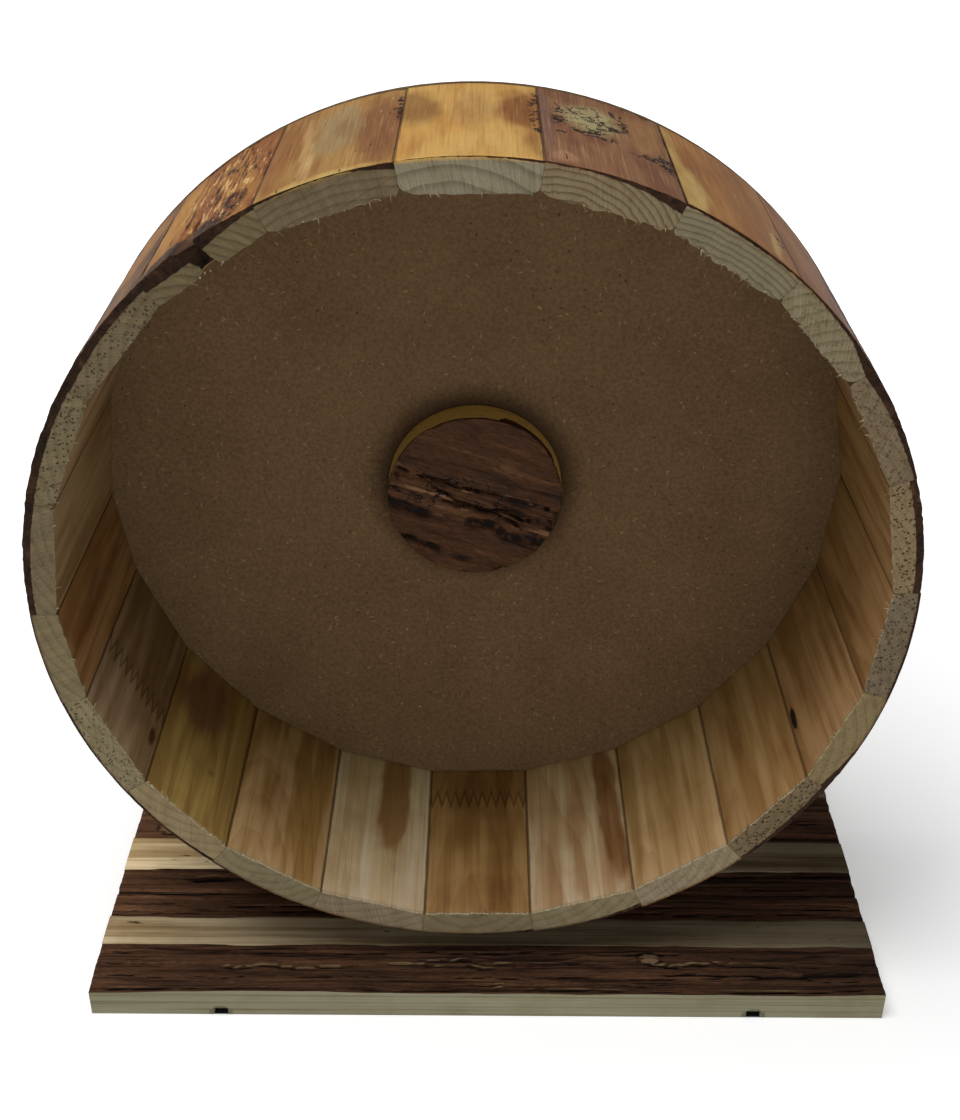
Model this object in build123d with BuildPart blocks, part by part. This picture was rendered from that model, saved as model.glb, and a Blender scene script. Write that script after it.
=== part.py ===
"""Rodent exercise wheel: a hoop of wooden staves on a fibre board disc that turns above a slab wood base.

Millimetres. +X is right and +Z is up, seen from the open front, and +Y points to the back. The origin is
under the middle of the whole object, on the surface that it stands on. The axle runs along Y.
"""

import os
from math import cos, radians, sin

from build123d import *

# Wheel
wheel_radius = 140.0
stave_corner_thickness = 8.5  # radial wall at the joints, where the flat inner faces meet
stave_count = 22
stave_length = 84.0
first_joint_angle = 99.0  # degrees from +X to the left joint of the top stave, counted to the left
narrow_staves = {3: 16.1, 4: 14.9, 5: 15.9, 17: 14.1}  # degrees; the other staves share what is left
disc_thickness = 3.0
hub_cap_radius = 31.0
hub_cap_thickness = 12.0
hub_cap_edge = 0.8  # worn corner around the cap's front

# Base
base_width = 284.0
slab_width = 52.0
slab_count = 3
base_thickness = 12.0
bark_drop = 1.0  # how far the barked parts of a slab lie below its planed crown at the slab's edges
front_crown_start = 23.0  # behind the front slab's front edge
front_crown_width = 21.5
middle_crown_start = 14.5  # behind the middle slab's front edge
middle_crown_width = 17.5
rear_crown_margin = 3.0  # planed wood in front of and behind the upright
spline_spacing = 191.0
spline_width = 5.0
spline_depth = 3.0
spline_setback = 6.0  # from the base's front and rear edges
spline_play = 0.1  # each side

# How the wheel stands on the base
wheel_gap = 10.0  # between the base's planed top and the wheel
front_overhang = 18.0  # base in front of the wheel
wheel_shift = -5.8  # the wheel stands a little left of the base's middle

# Axle bolt, with the usual sizes for 8 mm
axle_radius = 3.95
axle_length = 45.0  # under the head
hex_across_flats = 13.0
bolt_head_height = 5.3
clamp_nut_height = 6.5
lock_nut_height = 8.0
washer_radius = 12.0
washer_thickness = 1.6
hardware_edge = 0.5  # chamfer on the bolt's and the nuts' corners
bore_play = 0.15  # between the bolt and the holes of washers, disc and spacers
pocket_play = 0.7  # around the washer and over the bolt head in the hub cap

# Ball bearings, two alike
bearing_radius = 11.0
bearing_bore_radius = 4.0
bearing_width = 7.0
ball_radius = 1.98
ball_count = 7
ball_circle_radius = 7.5
race_play = 0.06  # between a ball and its groove
inner_ring_radius = 6.1
outer_ring_bore_radius = 8.9
cage_inner_radius = 7.1
cage_outer_radius = 7.9
cage_width = 5.0
shield_bore_radius = 6.45
shield_thickness = 0.4
shield_setback = 0.2
spacer_radius = 5.5
front_spacer_length = 1.4
rear_spacer_length = 1.4

# Upright
upright_thickness = 16.0
upright_foot_width = 120.0
upright_foot_height = 20.0
upright_head_radius = 36.0
upright_edge = 1.5

# Screws from below into the upright
screw_radius = 2.0
screw_length = 45.0
screw_tip_length = 5.0
screw_head_radius = 4.0
screw_head_height = 2.4
screw_head_sink = 0.4  # below the base's underside
screw_spacing = 42.0
screw_count = 3
screw_hole_play = 0.1

# Places along X: the middle of the whole object is at zero
base_from_wheel = -wheel_shift
left_reach = min(-wheel_radius, base_from_wheel - base_width / 2)
right_reach = max(wheel_radius, base_from_wheel + base_width / 2)
wheel_x = -(left_reach + right_reach) / 2
base_x = wheel_x + base_from_wheel

# Heights and radii
inner_corner_radius = wheel_radius - stave_corner_thickness
axle_height = base_thickness + wheel_gap + wheel_radius

# Places along Y, from the front to the back
base_depth = slab_width * slab_count
base_front = -base_depth / 2
wheel_front = base_front + front_overhang
disc_front = wheel_front + stave_length
disc_back = disc_front + disc_thickness
bolt_seat = disc_front - washer_thickness
clamp_nut_front = disc_back + washer_thickness
front_spacer_front = clamp_nut_front + clamp_nut_height
upright_front = front_spacer_front + front_spacer_length
upright_back = upright_front + upright_thickness
upright_middle = (upright_front + upright_back) / 2
front_bearing_back = upright_front + bearing_width
rear_bearing_front = upright_back - bearing_width
lock_nut_front = upright_back + rear_spacer_length
front_crown_front = base_front + front_crown_start
middle_crown_front = base_front + slab_width + middle_crown_start

# Lines and points that several pieces share
spline_places = [base_x - spline_spacing / 2, base_x + spline_spacing / 2]
first_screw_x = wheel_x - screw_spacing * (screw_count - 1) / 2
screw_places = [(first_screw_x + number * screw_spacing, upright_middle) for number in range(screw_count)]
axle = Axis((wheel_x, 0, axle_height), (0, 1, 0))

os.makedirs("parts", exist_ok=True)


def save(builder, name):
    """Name a finished piece and write it as a STEP file."""
    builder.part.label = name
    export_step(builder.part, f"parts/{name}.step")


def across_axle(y):
    """Plane square to the axle at depth y, centred on it and facing the front, with X right and Y up."""
    return Plane(origin=(wheel_x, y, axle_height), x_dir=(1, 0, 0), z_dir=(0, -1, 0))


def along_axle(y):
    """Level plane through the axle: X is the distance from it and Y runs back from depth y."""
    return Plane(origin=(wheel_x, y, axle_height), x_dir=(1, 0, 0), z_dir=(0, 0, 1))


def polar_point(radius, angle):
    """Point at a radius and an angle in degrees."""
    return (radius * cos(radians(angle)), radius * sin(radians(angle)))


def make_stave(name, left_angle, width):
    """One stave: round outside, flat inside, radial joint faces."""
    with BuildPart() as stave:
        with BuildSketch(across_axle(disc_front)):
            with BuildLine():
                rim = CenterArc((0, 0), wheel_radius, left_angle - width, width)
                left_corner = polar_point(inner_corner_radius, left_angle)
                right_corner = polar_point(inner_corner_radius, left_angle - width)
                Polyline(rim @ 1, left_corner, right_corner, rim @ 0)
            make_face()
        extrude(amount=stave_length)
    save(stave, name)


def make_ring(name, back, length, outer_radius, bore_radius):
    """A plain ring around the axle, such as a washer or a spacer."""
    with BuildPart() as ring:
        with BuildSketch(across_axle(back)):
            Circle(outer_radius)
            Circle(bore_radius, mode=Mode.SUBTRACT)
        extrude(amount=length)
    save(ring, name)


def make_nut(name, front, height):
    """A hexagon nut around the axle, screwed tight on the bolt."""
    with BuildPart() as nut:
        with BuildSketch(across_axle(front + height)):
            RegularPolygon(hex_across_flats / 2, 6, major_radius=False)
        extrude(amount=height)
        chamfer(nut.faces().sort_by(Axis.Y)[-1].edges(), hardware_edge)
        with BuildSketch(across_axle(front + height)):
            Circle(axle_radius)
        extrude(amount=height, mode=Mode.SUBTRACT)
    save(nut, name)


def make_bearing(side, front):
    """A shielded ball bearing, as rings, cage, balls and shields, with its front face at depth front."""
    middle = bearing_width / 2
    groove_radius = ball_radius + race_play

    def make_race(name, small_radius, large_radius):
        """An outer or inner ring with a round groove for the balls."""
        with BuildPart() as race:
            with BuildSketch(along_axle(front)):
                with Locations(((small_radius + large_radius) / 2, middle)):
                    Rectangle(large_radius - small_radius, bearing_width)
                with Locations((ball_circle_radius, middle)):
                    Circle(groove_radius, mode=Mode.SUBTRACT)
            revolve(axis=axle)
        save(race, name)

    make_race(f"{side}_bearing_outer_ring", outer_ring_bore_radius, bearing_radius)
    make_race(f"{side}_bearing_inner_ring", bearing_bore_radius, inner_ring_radius)

    with BuildPart(across_axle(front + middle)) as balls:
        with PolarLocations(ball_circle_radius, ball_count):
            Sphere(ball_radius)
    save(balls, f"{side}_bearing_balls")

    with BuildPart(across_axle(front + middle)) as cage:
        with BuildSketch(across_axle(front + middle)):
            Circle(cage_outer_radius)
            Circle(cage_inner_radius, mode=Mode.SUBTRACT)
        extrude(amount=cage_width / 2, both=True)
        with PolarLocations(ball_circle_radius, ball_count):
            Cylinder(groove_radius, 2 * ball_radius, rotation=(0, 90, 0), mode=Mode.SUBTRACT)
    save(cage, f"{side}_bearing_cage")

    with BuildPart() as shields:
        front_shield_back = front + shield_setback + shield_thickness
        rear_shield_back = front + bearing_width - shield_setback
        for shield_back in (front_shield_back, rear_shield_back):
            with BuildSketch(across_axle(shield_back)):
                Circle(outer_ring_bore_radius)
                Circle(shield_bore_radius, mode=Mode.SUBTRACT)
            extrude(amount=shield_thickness)
    save(shields, f"{side}_bearing_shields")


def make_slab(name, number, crown_front, crown_back, screwed=False):
    """One slab of the base: flat below, planed flat along its crown, and sloping down to barked edges."""
    slab_front = base_front + number * slab_width
    slab_back = slab_front + slab_width
    edge_height = base_thickness - bark_drop
    with BuildPart() as slab:
        with BuildSketch(Plane.YZ.offset(base_x - base_width / 2)):
            with BuildLine():
                Polyline(
                    (slab_front, 0),
                    (slab_back, 0),
                    (slab_back, edge_height),
                    (crown_back, base_thickness),
                    (crown_front, base_thickness),
                    (slab_front, edge_height),
                    close=True,
                )
            make_face()
        extrude(amount=base_width)
        with BuildSketch(Plane.XY):
            with Locations(*[(x, 0) for x in spline_places]):
                Rectangle(spline_width + 2 * spline_play, base_depth)
        extrude(amount=spline_depth + spline_play, mode=Mode.SUBTRACT)
        if screwed:
            with Locations(*screw_places):
                add(screw_hole, mode=Mode.SUBTRACT)
    save(slab, name)


def make_screw_shape(play, open_below=False):
    """A countersunk screw pointing up from under the base, or its hole, which has play and opens below."""
    shank = screw_radius + play
    head = screw_head_radius + play
    tip_height = screw_head_sink + screw_length
    with BuildPart() as shape:
        with BuildSketch(Plane.XZ):
            with BuildLine():
                Polyline(
                    (0, screw_head_sink),
                    (head, screw_head_sink),
                    (shank, screw_head_sink + screw_head_height),
                    (shank, tip_height - screw_tip_length),
                    (0, tip_height),
                    close=True,
                )
            make_face()
            if open_below:
                with Locations((0, 0)):
                    Rectangle(head, screw_head_sink, align=Align.MIN)
        revolve(axis=Axis.Z)
    return shape.part


# Hoop of staves, numbered clockwise from the top as seen from the front
usual_width = (360.0 - sum(narrow_staves.values())) / (stave_count - len(narrow_staves))
joint_angle = first_joint_angle
for stave_number in range(1, stave_count + 1):
    stave_width = narrow_staves.get(stave_number, usual_width)
    make_stave(f"stave_{stave_number:02d}", joint_angle, stave_width)
    joint_angle -= stave_width

# Back disc, glued to the rear ends of the staves
make_ring("back_disc", disc_back, disc_thickness, wheel_radius, axle_radius + bore_play)

# Hub cap, glued over the bolt head and its washer
with BuildPart() as hub_cap:
    with BuildSketch(across_axle(disc_front)):
        Circle(hub_cap_radius)
    extrude(amount=hub_cap_thickness)
    chamfer(hub_cap.faces().sort_by(Axis.Y)[0].edges(), hub_cap_edge)
    with BuildSketch(across_axle(disc_front)):
        Circle(washer_radius + pocket_play)
    extrude(amount=washer_thickness + bolt_head_height + pocket_play, mode=Mode.SUBTRACT)
save(hub_cap, "hub_cap")

# Axle bolt: hexagon head in front of the disc, plain shank standing for the thread
with BuildPart() as axle_bolt:
    with BuildSketch(across_axle(bolt_seat)):
        RegularPolygon(hex_across_flats / 2, 6, major_radius=False)
    extrude(amount=bolt_head_height)
    chamfer(axle_bolt.faces().sort_by(Axis.Y)[0].edges(), hardware_edge)
    with BuildSketch(across_axle(bolt_seat)):
        Circle(axle_radius)
    extrude(amount=-axle_length)
    chamfer(axle_bolt.faces().sort_by(Axis.Y)[-1].edges(), hardware_edge)
save(axle_bolt, "axle_bolt")

# Clamping washers on both faces of the disc
with BuildPart() as disc_washers:
    for washer_back in (disc_front, clamp_nut_front):
        with BuildSketch(across_axle(washer_back)):
            Circle(washer_radius)
            Circle(axle_radius + bore_play, mode=Mode.SUBTRACT)
        extrude(amount=washer_thickness)
save(disc_washers, "disc_washers")

make_nut("clamp_nut", clamp_nut_front, clamp_nut_height)
make_nut("lock_nut", lock_nut_front, lock_nut_height)

# Spacers that touch only the bearings' inner rings
spacer_bore_radius = axle_radius + bore_play
middle_spacer_length = rear_bearing_front - front_bearing_back
make_ring("front_spacer", upright_front, front_spacer_length, spacer_radius, spacer_bore_radius)
make_ring("middle_spacer", rear_bearing_front, middle_spacer_length, spacer_radius, spacer_bore_radius)
make_ring("rear_spacer", lock_nut_front, rear_spacer_length, spacer_radius, spacer_bore_radius)

make_bearing("front", upright_front)
make_bearing("rear", rear_bearing_front)

# Screws from below through the rear slab into the upright, which their threads bite
screw_hole = make_screw_shape(screw_hole_play, open_below=True)
screw = make_screw_shape(0)
with BuildPart() as upright_screws:
    with Locations(*screw_places):
        add(screw)
save(upright_screws, "upright_screws")

# Upright board with a bearing seat in each face and a narrower hole between them
foot_drop = axle_height - base_thickness
with BuildPart() as upright:
    with BuildSketch(across_axle(upright_back)):
        Circle(upright_head_radius)
        with Locations((0, -foot_drop)):
            Rectangle(upright_foot_width, upright_foot_height, align=(Align.CENTER, Align.MIN))
        make_hull()
    extrude(amount=upright_thickness)
    flat_edges = upright.faces().filter_by(Axis.Y).edges()
    chamfer(flat_edges.filter_by(lambda edge: edge.center().Z > base_thickness + upright_edge), upright_edge)
    with BuildSketch(across_axle(upright_back)):
        Circle(outer_ring_bore_radius)
    extrude(amount=upright_thickness, mode=Mode.SUBTRACT)
    with BuildSketch(across_axle(front_bearing_back), across_axle(upright_back)):
        Circle(bearing_radius)
    extrude(amount=bearing_width, mode=Mode.SUBTRACT)
    with Locations(*screw_places):
        add(screw, mode=Mode.SUBTRACT)
save(upright, "upright")

# Base of three slabs, glued edge to edge, with two splines let into grooves underneath
make_slab("base_slab_front", 0, front_crown_front, front_crown_front + front_crown_width)
make_slab("base_slab_middle", 1, middle_crown_front, middle_crown_front + middle_crown_width)
rear_crown_front = upright_front - rear_crown_margin
make_slab("base_slab_rear", 2, rear_crown_front, upright_back + rear_crown_margin, screwed=True)
for spline_side, spline_x in zip(("left", "right"), spline_places):
    with BuildPart() as spline:
        with BuildSketch(Plane.XY):
            with Locations((spline_x, 0)):
                Rectangle(spline_width, base_depth - 2 * spline_setback)
        extrude(amount=spline_depth)
    save(spline, f"base_spline_{spline_side}")
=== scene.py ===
"""A rodent exercise wheel: a hoop of flat-faced wooden staves on a barked base.

The frame comes from the construction model. The staves, the hub cap and the
base slabs are modelled here with their bark, saw marks and torn fibres, and
every other part keeps its own solid and gets its finish.
"""

import logging
import math
from dataclasses import dataclass, field
from enum import Enum
from typing import Union

import bpy
import numpy as np
from mathutils import Matrix, Vector, noise


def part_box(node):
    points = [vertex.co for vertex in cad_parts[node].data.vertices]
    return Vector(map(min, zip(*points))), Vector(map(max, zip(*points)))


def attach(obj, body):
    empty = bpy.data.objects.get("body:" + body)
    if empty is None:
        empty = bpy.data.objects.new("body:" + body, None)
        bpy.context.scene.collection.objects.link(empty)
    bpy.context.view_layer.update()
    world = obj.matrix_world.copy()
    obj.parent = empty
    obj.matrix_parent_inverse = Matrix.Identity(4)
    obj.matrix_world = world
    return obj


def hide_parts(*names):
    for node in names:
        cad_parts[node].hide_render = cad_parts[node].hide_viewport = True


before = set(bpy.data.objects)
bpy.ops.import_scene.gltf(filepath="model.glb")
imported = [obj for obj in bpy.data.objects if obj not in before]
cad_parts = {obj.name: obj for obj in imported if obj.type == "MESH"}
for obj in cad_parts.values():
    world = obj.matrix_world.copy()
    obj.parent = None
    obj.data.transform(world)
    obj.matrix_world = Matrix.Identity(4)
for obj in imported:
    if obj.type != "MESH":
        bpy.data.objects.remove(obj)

LOG = logging.getLogger("exercise_wheel")
MM = 0.001

Colour = tuple[float, float, float, float]
Piece = bpy.types.Object
Material = bpy.types.Material
Group = bpy.types.NodeTree
Node = bpy.types.Node
Rows = bpy.types.bpy_prop_collection
Reading = Union["Wire", float, tuple]
ORIGIN = (0.0, 0.0, 0.0)
WHITE = (1.0, 1.0, 1.0, 1.0)


class Side(Enum):
    """The kinds of surface that a stave shows, in the order of its material slots."""

    END = 0
    OUTSIDE = 1
    INSIDE = 2


class SlabFace(Enum):
    """The kinds of surface that a base slab shows, in the order of its material slots."""

    SAWN = 0
    TOP = 1


def paint(chart: str) -> Colour:
    """Turns a colour chart's code into linear light.

    Args:
        chart: Red, green and blue as six hexadecimal digits.

    Returns:
        The colour with full opacity, as shaders take it.
    """
    values = [int(chart[start : start + 2], 16) / 255 for start in (0, 2, 4)]
    linear = [v / 12.92 if v <= 0.04045 else ((v + 0.055) / 1.055) ** 2.4 for v in values]
    return linear[0], linear[1], linear[2], 1.0


def soft_step(low: float, high: float, value: np.ndarray) -> np.ndarray:
    """Rises smoothly from 0 at low to 1 at high, and where high is the smaller one it falls."""
    share = np.clip((value - low) / (high - low), 0.0, 1.0)
    return share * share * (3.0 - 2.0 * share)


def turbulence(points: np.ndarray, scale: tuple[float, float, float], seed: float) -> np.ndarray:
    """Reads smooth noise at many points.

    Args:
        points: Rows of x, y and z in metres.
        scale: How many noise cells there are per metre along each axis.
        seed: Moves the pattern, so that each piece gets its own.

    Returns:
        One value from about -1 to 1 for each point.
    """
    cells = points * np.array(scale) + seed * 7.31
    return np.array([noise.fractal(Vector(cell), 0.6, 2.0, 3) for cell in cells])


@dataclass(frozen=True)
class Wire:
    """A shader value that is reckoned with like a number."""

    shader: "Shader"
    socket: bpy.types.NodeSocket

    def __add__(self, other: Reading) -> "Wire":
        """Adds."""
        return self.shader.math("ADD", self, other)

    def __sub__(self, other: Reading) -> "Wire":
        """Subtracts."""
        return self.shader.math("SUBTRACT", self, other)

    def __rsub__(self, other: Reading) -> "Wire":
        """Subtracts this from a number."""
        return self.shader.math("SUBTRACT", other, self)

    def __mul__(self, other: Reading) -> "Wire":
        """Multiplies."""
        return self.shader.math("MULTIPLY", self, other)

    def __truediv__(self, other: Reading) -> "Wire":
        """Divides."""
        return self.shader.math("DIVIDE", self, other)

    def __abs__(self) -> "Wire":
        """Drops the sign."""
        return self.shader.math("ABSOLUTE", self)


@dataclass(frozen=True)
class Painted:
    """An attribute that is painted on a mesh, as the shader reads it."""

    vector: Wire
    x: Wire
    y: Wire
    z: Wire
    alpha: Wire
    colour: Wire
    value: Wire


@dataclass
class Shader:
    """A node tree while it is being wired, with the material that it belongs to, if any."""

    tree: Group
    surface: Node | None = None
    material: Material | None = None

    def add(self, kind: str, **settings: object) -> Node:
        """Adds a node.

        Args:
            kind: The node's type, without the word that every shader node's type starts with.
            **settings: The properties to set on it.

        Returns:
            The node.
        """
        made = self.tree.nodes.new("ShaderNode" + kind)
        for name, value in settings.items():
            setattr(made, name, value)
        return made

    def feed(self, socket: bpy.types.NodeSocket, value: Reading) -> None:
        """Gives an input its value.

        Args:
            socket: The input.
            value: A wire to link to it, or the input's own value.
        """
        if isinstance(value, Wire):
            self.tree.links.new(value.socket, socket)
        else:
            socket.default_value = value

    def wired(self, node: Node, inputs: dict[object, Reading], output: object = 0) -> Wire:
        """Feeds a node's inputs.

        Args:
            node: The node.
            inputs: One value for each input's name or number.
            output: The output's name or number.

        Returns:
            The output.
        """
        for name, value in inputs.items():
            self.feed(node.inputs[name], value)
        return Wire(self, node.outputs[output])

    def math(self, operation: str, first: Reading, second: Reading = 0.0) -> Wire:
        """Adds a Math node."""
        return self.wired(self.add("Math", operation=operation), {0: first, 1: second})

    def stretch(self, vector: Reading, factors: Reading) -> Wire:
        """Multiplies two vectors."""
        return self.wired(self.add("VectorMath", operation="MULTIPLY"), {0: vector, 1: factors})

    def shift(self, vector: Reading, way: Reading) -> Wire:
        """Adds two vectors."""
        return self.wired(self.add("VectorMath", operation="ADD"), {0: vector, 1: way})

    def turned(self, vector: Reading, degrees: tuple[float, float, float]) -> Wire:
        """Turns a vector about the origin.

        Args:
            vector: The vector.
            degrees: The angles about x, y and z.

        Returns:
            The turned vector.
        """
        turn = self.add("Mapping")
        turn.inputs["Rotation"].default_value = [math.radians(angle) for angle in degrees]
        return self.wired(turn, {"Vector": vector})

    def vector(self, x: Reading, y: Reading, z: Reading) -> Wire:
        """Joins three numbers into a vector."""
        return self.wired(self.add("CombineXYZ"), {0: x, 1: y, 2: z})

    def parts(self, vector: Reading) -> tuple[Wire, Wire, Wire]:
        """Splits a vector.

        Args:
            vector: The vector, or a colour.

        Returns:
            Its three numbers.
        """
        made = self.add("SeparateXYZ")
        self.feed(made.inputs[0], vector)
        return Wire(self, made.outputs[0]), Wire(self, made.outputs[1]), Wire(self, made.outputs[2])

    def where(self) -> Wire:
        """Reads the place in the part's own frame."""
        return Wire(self, self.add("TexCoord").outputs["Object"])

    def painted(self, name: str) -> Painted:
        """Reads an attribute that is painted on the mesh.

        Args:
            name: The attribute's name.

        Returns:
            The attribute in all the ways that a shader can take it.
        """
        made = self.add("Attribute", attribute_name=name)
        vector = Wire(self, made.outputs["Vector"])
        others = [Wire(self, made.outputs[title]) for title in ("Alpha", "Color", "Fac")]
        return Painted(vector, *self.parts(vector), *others)

    def met_by(self, first: str, second: str) -> Wire:
        """Tells the rays apart that meet the surface.

        Args:
            first: One kind of ray, as the Light Path node names it.
            second: Another kind.

        Returns:
            1 for rays of either kind, and else 0.
        """
        path = self.add("LightPath")
        return self.math("MAXIMUM", Wire(self, path.outputs[first]), Wire(self, path.outputs[second]))

    def blend(self, share: Reading, below: Reading, above: Reading, kind: str = "MIX") -> Wire:
        """Lays one colour over another.

        Args:
            share: How much of the upper colour shows.
            below: The lower colour.
            above: The upper colour.
            kind: The blend type's name in Blender.

        Returns:
            The mixed colour.
        """
        node = self.add("Mix", data_type="RGBA", blend_type=kind)
        return self.wired(node, {0: share, 6: below, 7: above}, 2)

    def darken(self, share: Reading, colour: Reading, red: float, green: float, blue: float) -> Wire:
        """Multiplies a colour by a darker one where the share is 1."""
        return self.blend(share, colour, (red, green, blue, 1.0), "MULTIPLY")

    def grade(
        self, value: Reading, low: Reading, high: Reading, start: float = 0.0, end: float = 1.0
    ) -> Wire:
        """Maps a range smoothly onto another.

        Args:
            value: The value to grade.
            low: Where the result is still start.
            high: Where the result is end.
            start: The result at low.
            end: The result at high.

        Returns:
            The graded value.
        """
        node = self.add("MapRange", interpolation_type="SMOOTHSTEP")
        return self.wired(node, {0: value, 1: low, 2: high, 3: start, 4: end})

    def cloud(self, vector: Reading, scale: float | tuple, detail: float = 3.0, rough: float = 0.55) -> Wire:
        """Adds a noise texture.

        Args:
            vector: Where the texture is read, in metres.
            scale: Cells per metre, one number or one for each axis.
            detail: Octaves of finer noise.
            rough: How strong the finer octaves are.

        Returns:
            The noise, from 0 to 1 around a half.
        """
        if isinstance(scale, tuple):
            vector, scale = self.stretch(vector, scale), 1.0
        node = self.add("TexNoise")
        return self.wired(node, {"Vector": vector, "Scale": scale, "Detail": detail, "Roughness": rough})

    def cells(self, vector: Reading, scale: float | tuple) -> tuple[Wire, Wire]:
        """Adds a cell texture.

        Args:
            vector: Where the texture is read, in metres.
            scale: Cells per metre, one number or one for each axis.

        Returns:
            The distance from each cell's middle, and a chance number for each cell.
        """
        if isinstance(scale, tuple):
            vector, scale = self.stretch(vector, scale), 1.0
        node = self.add("TexVoronoi")
        distance = self.wired(node, {"Vector": vector, "Scale": scale})
        return distance, self.parts(Wire(self, node.outputs["Color"]))[0]

    def effect(self, group: Group, **values: Reading) -> dict[str, Wire]:
        """Places a shared effect.

        Args:
            group: The effect's node group.
            **values: One value for each named input.

        Returns:
            The effect's outputs by name.
        """
        made = self.add("Group")
        made.node_tree = group
        for name, value in values.items():
            self.feed(made.inputs[name], value)
        return {output.name: Wire(self, output) for output in made.outputs}

    def finish(self, colour: Wire, height: Wire, relief: float) -> Material:
        """Closes a material.

        Args:
            colour: The surface's colour.
            height: The surface's relief, where 1 is as high as relief.
            relief: What a height of 1 measures, in metres.

        Returns:
            The finished material.
        """
        bump = self.add("Bump")
        bump.inputs["Distance"].default_value = relief
        bump.inputs["Strength"].default_value = 1.0
        self.feed(self.surface.inputs["Base Color"], colour)
        self.feed(self.surface.inputs["Normal"], self.wired(bump, {"Height": height}))
        return self.material


def start_material(name: str, roughness: float, sheen: float = 0.5, metallic: float = 0.0) -> Shader:
    """Opens a material.

    Args:
        name: The finish's name.
        roughness: The finish's plain roughness.
        sheen: How much the surface mirrors. A half is smooth varnish, and bare wood has less.
        metallic: 1 for bare metal.

    Returns:
        The material's shader, with its Principled BSDF as the surface.
    """
    material = bpy.data.materials.new(name)
    material.use_nodes = True
    surface = material.node_tree.nodes["Principled BSDF"]
    surface.inputs["Roughness"].default_value = roughness
    surface.inputs["Specular IOR Level"].default_value = sheen
    surface.inputs["Metallic"].default_value = metallic
    return Shader(material.node_tree, surface, material)


def start_group(
    name: str, inputs: dict[str, object], outputs: dict[str, str]
) -> tuple[Shader, dict[str, Wire], dict[str, bpy.types.NodeSocket]]:
    """Opens a shared effect.

    Args:
        name: The group's name.
        inputs: Input names with their start values. A number, a vector or a colour.
        outputs: Output names, each with Float or Color.

    Returns:
        The group's shader, its inputs as wires, and its outputs as sockets to feed.
    """
    tree = bpy.data.node_groups.new(name, "ShaderNodeTree")
    for title, value in inputs.items():
        kind = {1: "Float", 3: "Vector", 4: "Color"}[1 if isinstance(value, float) else len(value)]
        socket = tree.interface.new_socket(title, in_out="INPUT", socket_type="NodeSocket" + kind)
        socket.default_value = value
    for title, kind in outputs.items():
        tree.interface.new_socket(title, in_out="OUTPUT", socket_type="NodeSocket" + kind)
    shader = Shader(tree)
    entry, leave = tree.nodes.new("NodeGroupInput"), tree.nodes.new("NodeGroupOutput")
    wires = {title: Wire(shader, entry.outputs[title]) for title in inputs}
    return shader, wires, {title: leave.inputs[title] for title in outputs}


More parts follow.
